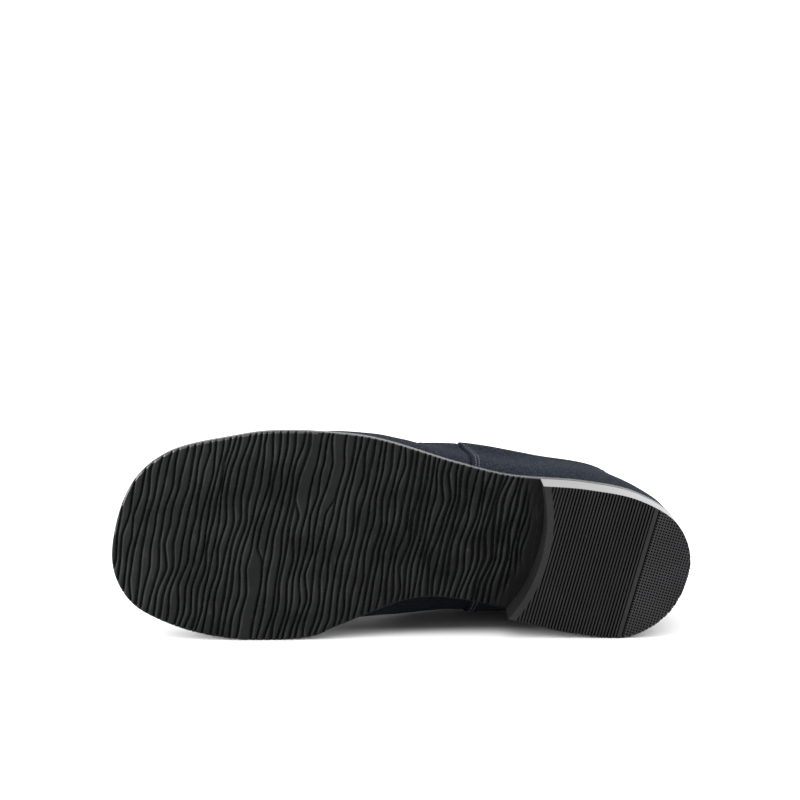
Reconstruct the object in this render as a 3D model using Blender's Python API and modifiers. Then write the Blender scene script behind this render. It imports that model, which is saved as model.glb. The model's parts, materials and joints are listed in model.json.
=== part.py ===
"""Mary jane shoe for the left foot, lying on its inner side.

The shoe is modelled standing on its sole, in metres: x runs from the toe tip to the back of the heel, y
towards the inner side of the foot, z up from the ground. At the end the whole shoe is laid over on its
inner side, in the place where it comes to rest by its own weight.
"""

import math

import bmesh
import bpy
from mathutils import Matrix, Vector

# Sizes of the sole
outsole_length = 0.250
ball_width = 0.0915
outsole_thickness = 0.0046
heel_height = 0.018
toe_spring = 0.008
insole_thickness = 0.0035
breast_hollow = 0.0073
heel_edge_round = 0.0007

# Tread of the forepart: straight-cut grooves with a slight wave, out through both edges of the sole
groove_pitch = 0.0030
groove_width = 0.0011
groove_depth = 0.0014
groove_lean = 0.20
groove_wave = 0.0006
groove_wave_length = 0.030
groove_bends = 6

# Sizes of the upper
instep_height = 0.058
upper_wall = 0.0022
quarter_step = 0.0007
feather_inset = 0.0014

# Sizes of the strap and the buckle
strap_width = 0.0165
strap_thickness = 0.0020
tab_thickness = 0.0014
tab_width = 0.0130
buckle_wire = 0.0022
buckle_length = 0.0135
buckle_side_room = 0.0018
buckle_corner = 0.0030
prong_wire = 0.0016
prong_slot = 0.0030
strap_root = 0.016
bar_above_topline = 0.0150
strap_tip_above_topline = 0.0070

# The line over the instep, as the part of an ellipse above so many degrees from its level axis
arch_start = 35
arch_parts = 6

# Ends of the strap and the tab: how much of its thickness the strap's tip sinks, and how far the tab is
# folded back, as a share of the buckle's length and of the turn round the bar
strap_tip_sink = 0.8
tab_fold_back = 0.20
tab_fold_height = 0.70

# Room left between pieces that meet, where a strap's end follows the curved wall, and under the upper,
# whose wall leans so that its inner edge comes lower
gap = 0.0003
root_gap = 0.0010
feather_gap = 0.0008

# Places along the shoe, as shares of the outsole's length
spring_end = 0.24
shank_start = 0.36
shank_end = 0.68
breast_inner = 0.686
breast_outer = 0.745
station_margin = 0.02
groove_first = 0.012
groove_last = 0.705
strap_place = 0.540

# Places across the shoe, as shares of the ball width towards the inner side: where the heel's breast meets
# the sole's edge, and the length of a groove's cutter
breast_inner_side = 0.405
breast_outer_side = -0.236
groove_span = 1.3
groove_turn = 0.23

# Fineness of the round forms
outline_steps = 6
sole_stations = 36
upper_around = 88
upper_up = 8
band_columns = 4
band_steps = 34
bridge_steps = 6
wire_sides = 2

# Finish colours
rubber_black = (0.016, 0.016, 0.017, 1.0)
nubuck_navy = (0.022, 0.028, 0.055, 1.0)
lining_grey = (0.30, 0.28, 0.26, 1.0)
buckle_steel = (0.60, 0.60, 0.62, 1.0)

# The sole's outline from above, from the toe tip along the outer side and back along the inner side
outline_points = (
    # share of the length, share of the ball width towards the inner side
    (0.000, 0.144),
    (0.033, -0.220),
    (0.098, -0.388),
    (0.217, -0.475),
    (0.292, -0.499),
    (0.439, -0.467),
    (0.600, -0.315),
    (0.686, -0.251),
    (0.821, -0.217),
    (0.913, -0.162),
    (0.978, -0.047),
    (1.000, 0.134),
    (0.967, 0.366),
    (0.896, 0.490),
    (0.797, 0.474),
    (0.685, 0.403),
    (0.530, 0.327),
    (0.394, 0.434),
    (0.343, 0.488),
    (0.205, 0.496),
    (0.093, 0.425),
    (0.029, 0.325),
)

# Sections of the upper. Each row is the line that the wall follows from the sole's edge to the topline.
# side, along: where it starts on the sole's edge, along as a share of the length.
# top_x, top_y, top_z: its topline point, as shares of the length, the ball width and the instep height.
# swell, rise: how far the wall swells past its foot, as a share of the ball width, and at what share of its
# height. reach, drop: the pull of its upper end, as a share of the way back to the foot and of its height.
upper_sections = (
    # side, along, top_x, top_y, top_z, swell, rise, reach, drop
    ("toe", 0.000, 0.345, 0.055, 0.74, 0.000, 0.60, 0.62, 0.26),
    ("outer", 0.040, 0.352, -0.070, 0.71, 0.004, 0.60, 0.60, 0.24),
    ("outer", 0.160, 0.378, -0.175, 0.65, 0.008, 0.60, 0.58, 0.20),
    ("outer", 0.330, 0.430, -0.270, 0.59, 0.004, 0.58, 0.60, 0.20),
    ("outer", 0.480, 0.505, -0.340, 0.59, 0.028, 0.45, 0.80, 0.35),
    ("outer", 0.628, 0.607, -0.332, 0.65, 0.058, 0.42, 1.00, 0.35),
    ("outer", 0.760, 0.745, -0.252, 0.74, 0.060, 0.37, 0.95, 0.40),
    ("outer", 0.890, 0.875, -0.158, 0.85, 0.030, 0.46, 0.58, 0.40),
    ("heel", 1.000, 0.956, 0.140, 0.93, 0.008, 0.40, 0.80, 0.35),
    ("inner", 0.890, 0.875, 0.412, 0.85, 0.030, 0.40, 0.80, 0.40),
    ("inner", 0.760, 0.745, 0.470, 0.74, 0.045, 0.40, 0.85, 0.40),
    ("inner", 0.628, 0.607, 0.485, 0.66, 0.195, 0.38, 0.38, 0.30),
    ("inner", 0.480, 0.485, 0.472, 0.59, 0.185, 0.40, 0.25, 0.30),
    ("inner", 0.330, 0.415, 0.290, 0.60, 0.015, 0.55, 0.60, 0.22),
    ("inner", 0.150, 0.370, 0.195, 0.66, 0.008, 0.60, 0.60, 0.22),
    ("inner", 0.040, 0.350, 0.125, 0.71, 0.004, 0.60, 0.62, 0.25),
)
seam_sections = (("outer", 0.628), ("inner", 0.628))

# Heights of the wall, as shares of it, at which the strap's and the tab's ends follow its inside
root_ups = (0.45, 0.60, 0.75, 0.88, 1.0)


def clear_scene():
    for obj in list(bpy.data.objects):
        bpy.data.objects.remove(obj, do_unlink=True)


def new_collection(name):
    made = bpy.data.collections.new(name)
    bpy.context.scene.collection.children.link(made)
    return made


def new_material(name, colour, roughness, metallic=0.0):
    made = bpy.data.materials.new(name)
    made.use_nodes = True
    shader = made.node_tree.nodes["Principled BSDF"]
    shader.inputs["Base Color"].default_value = colour
    shader.inputs["Roughness"].default_value = roughness
    shader.inputs["Metallic"].default_value = metallic
    return made


def smooth_step(t):
    t = min(max(t, 0.0), 1.0)
    return t * t * (3.0 - 2.0 * t)


def through_points(points, steps, closed=False):
    """A smooth line through the points (centripetal Catmull-Rom), with so many steps between two of them."""
    points = [Vector(p) for p in points]
    if not closed:
        points = [points[0] * 2 - points[1]] + points + [points[-1] * 2 - points[-2]]
    count = len(points)
    line = []
    for i in range(count if closed else count - 3):
        first = i - 1 if closed else i
        before, start, end, after = (points[(first + k) % count] for k in range(4))
        d1 = math.sqrt((start - before).length)
        d2 = math.sqrt((end - start).length)
        d3 = math.sqrt((after - end).length)
        leave = ((start - before) / d1 - (end - before) / (d1 + d2) + (end - start) / d2) * d2
        arrive = ((end - start) / d2 - (after - start) / (d2 + d3) + (after - end) / d3) * d2
        for k in range(steps):
            t = k / steps
            line.append(
                start * (2 * t**3 - 3 * t**2 + 1)
                + leave * (t**3 - 2 * t**2 + t)
                + end * (3 * t**2 - 2 * t**3)
                + arrive * (t**3 - t**2)
            )
    if not closed:
        line.append(points[-2])
    return line


def distances(line):
    """Distance along a line at each of its points."""
    along = [0.0]
    for a, b in zip(line, line[1:]):
        along.append(along[-1] + (b - a).length)
    return along


def point_at(line, along, distance):
    """The point of a line at a distance from its start, carried straight on past both ends."""
    last = len(line) - 2
    i = 0
    while i < last and along[i + 1] < distance:
        i += 1
    share = (distance - along[i]) / (along[i + 1] - along[i])
    return line[i].lerp(line[i + 1], share)


def underside(x):
    """Height of the outsole's lower face above the ground."""
    share = x / outsole_length
    spring = toe_spring * max(1.0 - share / spring_end, 0.0) ** 2
    shank = heel_height * smooth_step((share - shank_start) / (shank_end - shank_start))
    return spring + shank


def sole_top(x):
    return underside(x) + outsole_thickness


class Outline:
    """The sole's edge as a closed line, measured from the toe tip along the outer side."""

    def __init__(self):
        anchors = [(x * outsole_length, y * ball_width, 0.0) for x, y in outline_points]
        self.line = through_points(anchors, outline_steps, closed=True)
        self.closed = self.line + [self.line[0]]
        self.along = distances(self.closed)
        self.length = self.along[-1]
        self.heel = self.along[len(self.line) // 2]

    def at(self, distance):
        return point_at(self.closed, self.along, distance % self.length)

    def inward(self, distance):
        reach = self.length / len(self.line)
        direction = (self.at(distance + reach) - self.at(distance - reach)).normalized()
        return Vector((-direction.y, direction.x, 0.0))

    def distance_of(self, side, share):
        """Distance of the place on one side of the edge that lies at a share of the length."""
        if side == "toe":
            return 0.0
        if side == "heel":
            return self.heel
        low, high = (0.0, self.heel) if side == "outer" else (self.length, self.heel)
        for _ in range(40):
            middle = (low + high) / 2
            if self.at(middle).x < share * outsole_length:
                low = middle
            else:
                high = middle
        return (low + high) / 2

    def inset(self, width):
        """The outline's points, moved inwards."""
        return [self.at(d) + self.inward(d) * width for d in self.along[:-1]]


class Upper:
    """The outer surface of the upper: around is a distance along the sole's edge, up is 0 to 1."""

    def __init__(self, outline):
        self.outline = outline
        self.knots = [outline.distance_of(row[0], row[1]) for row in upper_sections]
        self.rows = [row[2:] for row in upper_sections]
        self.seams = [outline.distance_of(side, share) for side, share in seam_sections]

    def section(self, around):
        """The section table's values at a place between its rows, by a smooth periodic curve."""
        count = len(self.rows)
        around %= self.outline.length
        i = max(k for k in range(count) if self.knots[k] <= around)
        places = []
        for k in range(i - 1, i + 3):
            places.append(self.knots[k % count] + (k // count) * self.outline.length)
        rows = [self.rows[k % count] for k in range(i - 1, i + 3)]
        span = places[2] - places[1]
        t = (around - places[1]) / span
        values = []
        for before, start, end, after in zip(*rows):
            leave = (end - before) / (places[2] - places[0]) * span
            arrive = (after - start) / (places[3] - places[1]) * span
            values.append(
                start * (2 * t**3 - 3 * t**2 + 1)
                + leave * (t**3 - 2 * t**2 + t)
                + end * (3 * t**2 - 2 * t**3)
                + arrive * (t**3 - t**2)
            )
        return values

    def base(self, around, up):
        """A point of the upper without the quarter's extra layer."""
        top_x, top_y, top_z, swell, rise, reach, drop = self.section(around)
        inward = self.outline.inward(around)
        foot = self.outline.at(around) + inward * feather_inset
        foot.z = sole_top(foot.x) + feather_gap
        top = Vector((top_x * outsole_length, top_y * ball_width, 0.0))
        top.z = sole_top(top.x) + top_z * instep_height
        height = top.z - foot.z
        low = foot - inward * swell * ball_width
        low.z = foot.z + rise * height
        high = top.lerp(foot, reach)
        high.z = top.z - drop * height
        left = 1.0 - up
        return foot * left**3 + low * 3 * left**2 * up + high * 3 * left * up**2 + top * up**3

    def outward(self, around, up):
        """The surface's outward direction."""
        small = 0.001
        low = max(up - small, 0.0)
        high = min(up + small, 1.0)
        across = self.base(around + small, up) - self.base(around - small, up)
        rising = self.base(around, high) - self.base(around, low)
        return across.cross(rising).normalized()

    def in_quarter(self, around):
        return self.seams[0] < around % self.outline.length < self.seams[1]

    def point(self, around, up, depth=0.0):
        """A point of the outer surface, or at a depth under it."""
        raised = quarter_step if self.in_quarter(around) else 0.0
        return self.base(around, up) + self.outward(around, up) * (raised - depth)

    def around_at(self, side, x, up):
        """The place around the shoe where the surface reaches x at a given height."""
        low, high = 0.0, self.outline.heel
        if side == "inner":
            low, high = self.outline.length, self.outline.heel
        for _ in range(30):
            middle = (low + high) / 2
            if self.base(middle, up).x < x:
                low = middle
            else:
                high = middle
        return (low + high) / 2

    def wall_at(self, side, x, up, depth):
        return self.point(self.around_at(side, x, up), up, depth)


def make_object(name, mesh, collection, material, parent):
    made = bpy.data.objects.new(name, mesh)
    made.parent = parent
    if material:
        mesh.materials.append(material)
    collection.objects.link(made)
    return made


def finish_mesh(bm, name, sharp_degrees=35):
    bmesh.ops.recalc_face_normals(bm, faces=bm.faces)
    mesh = bpy.data.meshes.new(name)
    bm.to_mesh(mesh)
    bm.free()
    mesh.shade_smooth()
    mesh.set_sharp_from_angle(angle=math.radians(sharp_degrees))
    return mesh


def slab(outline, stations, bottom, top):
    """A slab with the given outline, bent along x so that its faces follow the heights bottom and top."""
    bm = bmesh.new()
    face = bm.faces.new([bm.verts.new((p.x, p.y, 0.0)) for p in outline])
    raised = bmesh.ops.extrude_face_region(bm, geom=[face])
    for part in raised["geom"]:
        if isinstance(part, bmesh.types.BMVert):
            part.co.z = 1.0
    for x in stations:
        everything = bm.verts[:] + bm.edges[:] + bm.faces[:]
        bmesh.ops.bisect_plane(bm, geom=everything, plane_co=(x, 0, 0), plane_no=(1, 0, 0))
    for vert in bm.verts:
        vert.co.z = top(vert.co.x) if vert.co.z > 0.5 else bottom(vert.co.x)
    return bm


def stations_between(first, last, count):
    return [outsole_length * (first + (last - first) * i / count) for i in range(1, count)]


def groove_cutter(collection, parent):
    """All grooves of the forepart as one cutter: thin bars across the sole, bent to their wave."""
    bm = bmesh.new()
    first = groove_first * outsole_length
    count = round((groove_last - groove_first) * outsole_length / groove_pitch)
    for i in range(count):
        bar = bmesh.ops.create_cube(bm, size=1.0)["verts"]
        bmesh.ops.scale(bm, verts=bar, vec=(groove_width, groove_span * ball_width, 1.0))
        bmesh.ops.translate(bm, verts=bar, vec=(first + i * groove_pitch, 0.0, 0.0))
    for k in range(1, groove_bends):
        y = groove_span * ball_width * (k / groove_bends - 0.5)
        everything = bm.verts[:] + bm.edges[:] + bm.faces[:]
        bmesh.ops.bisect_plane(bm, geom=everything, plane_co=(0, y, 0), plane_no=(0, 1, 0))
    for vert in bm.verts:
        index = round((vert.co.x - first) / groove_pitch)
        turn = math.tau * (vert.co.y / groove_wave_length + groove_turn * index)
        shift = groove_wave * math.sin(turn) - groove_lean * vert.co.y
        under = underside(first + index * groove_pitch + shift)
        vert.co.x += shift
        vert.co.z = under + groove_depth if vert.co.z > 0 else under - heel_height
    cutter = make_object("groove_cutter", finish_mesh(bm, "groove_cutter"), collection, None, parent)
    cutter.hide_render = True
    cutter.display_type = "WIRE"
    return cutter


def cut(obj, cutter):
    modifier = obj.modifiers.new("cut_" + cutter.name, "BOOLEAN")
    modifier.operation = "DIFFERENCE"
    modifier.object = cutter


def breast_circle():
    """Centre and radius of the heel breast's hollow front, seen from above."""
    inner = Vector((breast_inner * outsole_length, breast_inner_side * ball_width, 0.0))
    outer = Vector((breast_outer * outsole_length, breast_outer_side * ball_width, 0.0))
    chord = (inner - outer).length
    radius = (chord**2 / 4 + breast_hollow**2) / (2 * breast_hollow)
    forward = Vector((0.0, 0.0, 1.0)).cross(inner - outer).normalized()
    centre = (inner + outer) / 2 + forward * (radius - breast_hollow)
    return centre, radius, forward


def make_heel(outline, collection, cutters, material, parent):
    bm = slab(outline.line, [], lambda x: 0.0, lambda x: heel_height - gap)
    centre, radius, forward = breast_circle()
    everything = bm.verts[:] + bm.edges[:] + bm.faces[:]
    cut_plane = centre - forward * (radius - breast_hollow)
    kept = bmesh.ops.bisect_plane(
        bm, geom=everything, plane_co=cut_plane, plane_no=forward, clear_outer=True
    )
    open_edges = [e for e in kept["geom_cut"] if isinstance(e, bmesh.types.BMEdge)]
    bmesh.ops.holes_fill(bm, edges=open_edges)
    heel = make_object("heel", finish_mesh(bm, "heel"), collection, material, parent)

    drum = bmesh.new()
    bmesh.ops.create_cone(
        drum, cap_ends=True, segments=96, radius1=radius, radius2=radius, depth=4 * heel_height
    )
    bmesh.ops.translate(drum, verts=drum.verts, vec=centre)
    cutter = make_object("breast_cutter", finish_mesh(drum, "breast_cutter"), cutters, None, parent)
    cutter.hide_render = True
    cutter.display_type = "WIRE"
    cut(heel, cutter)

    edge = heel.modifiers.new("edge", "BEVEL")
    edge.width = heel_edge_round
    edge.segments = 2
    edge.limit_method = "ANGLE"
    edge.angle_limit = math.radians(50)
    return heel


def make_outsole(outline, collection, cutters, material, parent):
    stations = stations_between(0.0, shank_end + station_margin, sole_stations)
    bm = slab(outline.line, stations, underside, sole_top)
    outsole = make_object("outsole", finish_mesh(bm, "outsole"), collection, material, parent)
    cut(outsole, groove_cutter(cutters, parent))
    return outsole


def make_insole(outline, collection, material, parent):
    edge = outline.inset(feather_inset + upper_wall + 4 * gap)
    stations = stations_between(station_margin, shank_end + station_margin, sole_stations // 2)
    lowest = lambda x: sole_top(x) + gap
    bm = slab(edge, stations, lowest, lambda x: lowest(x) + insole_thickness)
    return make_object("insole", finish_mesh(bm, "insole"), collection, material, parent)


def make_upper(upper, collection, material, parent):
    """The upper's outer surface, raised ring by ring from the sole's edge, and given its wall."""
    length = upper.outline.length
    arounds = [length * i / upper_around for i in range(upper_around)]
    arounds = [a for a in arounds if min(abs(a - seam) for seam in upper.seams) > length / upper_around / 2]
    for seam in upper.seams:
        arounds += [seam - gap, seam + gap]
    arounds.sort()

    bm = bmesh.new()
    ring = [bm.verts.new(upper.point(a, 0.0)) for a in arounds]
    edges = [bm.edges.new((ring[i - 1], ring[i])) for i in range(len(ring))]
    for level in range(1, upper_up + 1):
        raised = bmesh.ops.extrude_edge_only(bm, edges=edges)["geom"]
        edges = [part for part in raised if isinstance(part, bmesh.types.BMEdge)]
        top = {part for part in raised if isinstance(part, bmesh.types.BMVert)}
        for i, vert in enumerate(ring):
            ring[i] = next(e.other_vert(vert) for e in vert.link_edges if e.other_vert(vert) in top)
            ring[i].co = upper.point(arounds[i], level / upper_up)
    obj = make_object("upper", finish_mesh(bm, "upper", 25), collection, material, parent)
    shell = obj.modifiers.new("wall", "SOLIDIFY")
    shell.thickness = upper_wall
    shell.offset = -1.0
    shell.use_even_offset = True
    return obj


class Bridge:
    """The line over the instep that the strap and its fastening follow, at one place along the shoe.

    It starts inside the outer quarter, passes the topline there and runs over to the inside of the inner
    quarter. A point on it is a distance along it, counted from the outer topline, and a height over it.
    Beside the middle line, the arch is the middle's own, and only the ends follow the walls where they are.
    """

    def __init__(self, upper, x, middle=None):
        outer_depth = upper_wall + root_gap + tab_thickness / 2
        inner_depth = upper_wall + root_gap + strap_thickness / 2
        outer = [upper.wall_at("outer", x, up, outer_depth) for up in root_ups]
        inner = [upper.wall_at("inner", x, up, inner_depth) for up in reversed(root_ups)]
        self.arch = middle.arch if middle else self.arch_points(x, outer[-1], inner[0])
        points = [Vector((x, p.y, p.z)) for p in outer + self.arch + inner]
        self.line = through_points(points, bridge_steps)
        self.along = distances(self.line)
        shared = self.along[bridge_steps * len(root_ups)]
        self.lead = middle.lead if middle else shared - self.along[bridge_steps * (len(root_ups) - 1)]
        self.start = shared - self.lead
        self.end = self.along[-1 - bridge_steps * (len(root_ups) - 1)] - self.start

    @staticmethod
    def arch_points(x, outer, inner):
        """The upper part of an ellipse over the instep, leaning in from one topline to the other."""
        crest = Vector((x, (outer.y + inner.y) / 2, sole_top(x) + instep_height))
        start = math.radians(arch_start)
        points = []
        for k in range(1, arch_parts):
            angle = start + (math.pi - 2 * start) * k / arch_parts
            side = outer if 2 * k < arch_parts else inner
            y = crest.y + (side.y - crest.y) * abs(math.cos(angle)) / math.cos(start)
            share = (math.sin(angle) - math.sin(start)) / (1.0 - math.sin(start))
            points.append(Vector((x, y, side.z + (crest.z - side.z) * share)))
        return points

    def at(self, distance, height):
        small = 0.0005
        place = distance + self.start
        here = point_at(self.line, self.along, place)
        ahead = point_at(self.line, self.along, place + small)
        behind = point_at(self.line, self.along, place - small)
        direction = (ahead - behind).normalized()
        return here + Vector((0.0, -direction.z, direction.y)) * height


def band(name, upper, width, thickness, path, collection, material, parent):
    """A flat band of even thickness whose middle follows a path of (distance, height) over the instep."""
    steps = math.ceil(band_steps / (len(path) - 1))
    smooth = through_points([(s, h, 0.0) for s, h in path], steps)
    x_middle = strap_place * outsole_length
    middle = Bridge(upper, x_middle)
    bm = bmesh.new()
    columns = []
    for i in range(band_columns):
        x = x_middle + width * (i / (band_columns - 1) - 0.5)
        bridge = Bridge(upper, x, middle)
        columns.append([bm.verts.new(bridge.at(p.x, p.y)) for p in smooth])
    for left, right in zip(columns, columns[1:]):
        for k in range(len(smooth) - 1):
            bm.faces.new((left[k], left[k + 1], right[k + 1], right[k]))
    obj = make_object(name, finish_mesh(bm, name), collection, material, parent)
    shell = obj.modifiers.new("wall", "SOLIDIFY")
    shell.thickness = thickness
    shell.offset = 0.0
    shell.use_even_offset = True
    return obj


def wire(name, points, radius, closed, collection, material, parent):
    """A round wire through the points, as a mesh with welded ends."""
    curve = bpy.data.curves.new(name, "CURVE")
    curve.dimensions = "3D"
    curve.bevel_depth = radius
    curve.bevel_resolution = wire_sides
    curve.use_fill_caps = True
    spline = curve.splines.new("POLY")
    spline.points.add(len(points) - 1)
    for target, point in zip(spline.points, points):
        target.co = (*point, 1.0)
    spline.use_cyclic_u = closed
    temporary = bpy.data.objects.new(name + "_line", curve)
    collection.objects.link(temporary)
    graph = bpy.context.evaluated_depsgraph_get()
    mesh = bpy.data.meshes.new_from_object(temporary.evaluated_get(graph))
    bpy.data.objects.remove(temporary)
    bm = bmesh.new()
    bm.from_mesh(mesh)
    bmesh.ops.remove_doubles(bm, verts=bm.verts, dist=0.00001)
    bpy.data.meshes.remove(mesh)
    return make_object(name, finish_mesh(bm, name), collection, material, parent)


def make_fastening(upper, collection, cutters, materials, parent):
    """The strap over the instep, the tab that holds the buckle, the buckle and its prong."""
    leather, steel = materials
    middle = strap_place * outsole_length
    bridge = Bridge(upper, middle)
    wire_radius = buckle_wire / 2
    prong_radius = prong_wire / 2
    bar = bar_above_topline
    bar_height = tab_thickness / 2 + gap + wire_radius
    far = bar + buckle_length

    over_bar = bar_height + wire_radius + gap + tab_thickness + gap + strap_thickness / 2
    under_far = bar_height - wire_radius - gap - strap_thickness / 2
    strap_path = (
        (strap_tip_above_topline, over_bar - strap_tip_sink * strap_thickness),
        (bar - wire_radius, over_bar),
        (bar + wire_radius, over_bar),
        (bar + 0.45 * buckle_length, (over_bar + under_far) / 2),
        (far - 1.3 * wire_radius, under_far),
        (far + 1.3 * wire_radius, under_far),
        (far + 0.5 * buckle_length, 0.0),
        (bridge.end * 0.60, 0.0),
        (bridge.end * 0.80, 0.0),
        (bridge.end, 0.0),
        (bridge.end + strap_root, 0.0),
    )
    strap = band("strap", upper, strap_width, strap_thickness, strap_path, collection, leather, parent)

    turn = wire_radius + gap + tab_thickness / 2
    tab_path = [(-strap_root, 0.0), (-strap_root / 2, 0.0), (0.0, 0.0), (bar - turn, 0.0)]
    for degrees in range(0, 181, 30):
        angle = math.radians(degrees)
        tab_path.append((bar + turn * math.sin(angle), bar_height - turn * math.cos(angle)))
    tab_path.append((bar - tab_fold_back * buckle_length, bar_height + tab_fold_height * turn))
    tab = band("buckle_tab", upper, tab_width, tab_thickness, tab_path, collection, leather, parent)

    frame_points = []
    half_width = strap_width / 2 + buckle_side_room + wire_radius
    corner = buckle_corner
    for side_x, side_s, start in ((1, 1, 0), (-1, 1, 90), (-1, -1, 180), (1, -1, 270)):
        for degrees in (0, 30, 60, 90):
            angle = math.radians(start + degrees)
            x = side_x * (half_width - corner) + corner * math.cos(angle)
            s = (bar + far) / 2 + side_s * (buckle_length / 2 - corner) + corner * math.sin(angle)
            point = bridge.at(s, bar_height)
            point.x = middle + x
            frame_points.append(point)
    wire("buckle_frame", frame_points, wire_radius, True, collection, steel, parent)

    hook = wire_radius + gap + prong_radius
    prong_points = []
    for degrees in range(-60, 181, 30):
        angle = math.radians(degrees)
        prong_points.append(bridge.at(bar - hook * math.sin(angle), bar_height - hook * math.cos(angle)))
    for share in (0.35, 0.70, 1.0):
        prong_points.append(bridge.at(bar + share * buckle_length, bar_height + hook))
    prong_points.append(bridge.at(far + 1.2 * wire_radius, bar_height + hook - 0.2 * prong_radius))
    wire("buckle_prong", prong_points, prong_radius, False, collection, steel, parent)

    clearance = hook + prong_radius + gap
    slot_points = [bridge.at(bar - clearance, bar_height), bridge.at(bar + clearance, bar_height)]
    slot = slot_cutter("prong_slot_cutter", slot_points, prong_slot, 2 * clearance + gap, cutters, parent)
    cut(tab, slot)
    hole_points = [bridge.at(bar + prong_radius, bar_height + hook), bridge.at(far - prong_wire, bar_height)]
    hole = slot_cutter("prong_hole_cutter", hole_points, prong_slot, 4 * strap_thickness, cutters, parent)
    cut(strap, hole)


def slot_cutter(name, ends, width, height, collection, parent):
    """A box from one point to another, so wide along the shoe and so high."""
    start, end = ends
    bm = bmesh.new()
    bmesh.ops.create_cube(bm, size=1.0)
    bmesh.ops.scale(bm, verts=bm.verts, vec=(width, (end - start).length, height))
    slope = math.atan2(end.z - start.z, end.y - start.y)
    bmesh.ops.rotate(bm, verts=bm.verts, matrix=Matrix.Rotation(slope, 3, "X"))
    bmesh.ops.translate(bm, verts=bm.verts, vec=(start + end) / 2)
    cutter = make_object(name, finish_mesh(bm, name), collection, None, parent)
    cutter.hide_render = True
    cutter.display_type = "WIRE"
    return cutter


def evaluated_points(objects):
    """The corners of all pieces as built, their common centre of volume, and the corners' box."""
    graph = bpy.context.evaluated_depsgraph_get()
    points = []
    volume = 0.0
    moment = Vector()
    for obj in objects:
        evaluated = obj.evaluated_get(graph)
        mesh = evaluated.to_mesh()
        mesh.calc_loop_triangles()
        points += [obj.matrix_world @ v.co for v in mesh.vertices]
        for triangle in mesh.loop_triangles:
            a, b, c = (obj.matrix_world @ mesh.vertices[i].co for i in triangle.vertices)
            part = a.dot(b.cross(c)) / 6
            volume += part
            moment += (a + b + c) * part / 4
        evaluated.to_mesh_clear()
    return points, moment / volume


def resting_rotation(points, centre):
    """The turn that lays the shoe on the flat of its inner side that holds its centre of gravity."""
    bm = bmesh.new()
    verts = [bm.verts.new(p) for p in points]
    bmesh.ops.convex_hull(bm, input=verts)
    best = None
    for face in bm.faces:
        face.normal_update()
        corners = [v.co for v in face.verts]
        foot = centre + face.normal * (corners[0] - centre).dot(face.normal)
        inside = all(
            (corners[i] - corners[i - 1]).cross(foot - corners[i - 1]).dot(face.normal) >= 0
            for i in range(len(corners))
        )
        if inside and (best is None or face.normal.y > best.y):
            best = face.normal.copy()
    bm.free()
    down = best.normalized()
    length = (Vector((1, 0, 0)) - down * down.x).normalized()
    depth = (-down).cross(length)
    return Matrix((length, depth, -down)).to_4x4()


def lay_on_side(root, pieces):
    bpy.context.view_layer.update()
    points, centre = evaluated_points(pieces)
    turn = resting_rotation(points, centre)
    placed = [turn @ p for p in points]
    middle_x = (min(p.x for p in placed) + max(p.x for p in placed)) / 2
    middle_y = (min(p.y for p in placed) + max(p.y for p in placed)) / 2
    lowest = min(p.z for p in placed)
    root.matrix_world = Matrix.Translation((-middle_x, -middle_y, -lowest)) @ turn


def build():
    clear_scene()
    parts = new_collection("mary_jane_shoe")
    cutters = new_collection("cutters")
    root = bpy.data.objects.new("shoe", None)
    parts.objects.link(root)

    rubber = new_material("black_rubber", rubber_black, 0.55)
    nubuck = new_material("navy_nubuck", nubuck_navy, 0.90)
    lining = new_material("lining", lining_grey, 0.80)
    steel = new_material("buckle_steel", buckle_steel, 0.30, 1.0)

    outline = Outline()
    upper = Upper(outline)
    make_outsole(outline, parts, cutters, rubber, root)
    make_heel(outline, parts, cutters, rubber, root)
    make_insole(outline, parts, lining, root)
    make_upper(upper, parts, nubuck, root)
    make_fastening(upper, parts, cutters, (nubuck, steel), root)

    pieces = [obj for obj in parts.objects if obj.type == "MESH"]
    lay_on_side(root, pieces)


build()
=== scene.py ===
import json
import math
import random
from bisect import bisect_right
from functools import lru_cache

import bmesh
import bpy
import numpy as np
from mathutils import Matrix, Vector, noise


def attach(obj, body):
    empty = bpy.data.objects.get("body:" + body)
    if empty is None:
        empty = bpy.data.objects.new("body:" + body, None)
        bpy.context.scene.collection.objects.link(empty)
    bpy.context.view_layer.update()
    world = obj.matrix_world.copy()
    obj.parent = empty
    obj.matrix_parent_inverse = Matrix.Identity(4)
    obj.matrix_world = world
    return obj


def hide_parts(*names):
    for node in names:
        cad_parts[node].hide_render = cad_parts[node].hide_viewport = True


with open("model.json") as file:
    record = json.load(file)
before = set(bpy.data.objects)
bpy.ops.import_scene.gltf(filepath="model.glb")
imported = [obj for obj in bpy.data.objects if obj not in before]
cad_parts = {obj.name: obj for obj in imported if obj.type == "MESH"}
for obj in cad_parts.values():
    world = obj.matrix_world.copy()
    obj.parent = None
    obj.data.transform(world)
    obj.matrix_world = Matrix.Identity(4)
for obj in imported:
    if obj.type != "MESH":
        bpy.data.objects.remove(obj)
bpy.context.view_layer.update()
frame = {"record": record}

# Sizes of the shoe in metres, as the part has them: x from the toe to the heel, y towards the inner side of
# the foot, z up from the ground. Places along the shoe are shares of its length.
shoe = {
    "length": 0.250,
    "ballWidth": 0.0915,
    "soleThickness": 0.0046,
    "heelHeight": 0.018,
    "toeSpring": 0.008,
    "insoleThickness": 0.0035,
    "instepHeight": 0.058,
    "gap": 0.0003,
    "springEnd": 0.24,
    "shankStart": 0.36,
    "shankEnd": 0.68,
    "breastInner": (0.686, 0.405),     # share of the length, share of the ball width
    "breastOuter": (0.745, -0.236),
    "breastHollow": 0.0073,
    "heelSpot": (0.212, 0.012),        # where the record's mount on the heel's tread lies
}
length = shoe["length"]
ballWidth = shoe["ballWidth"]

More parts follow.
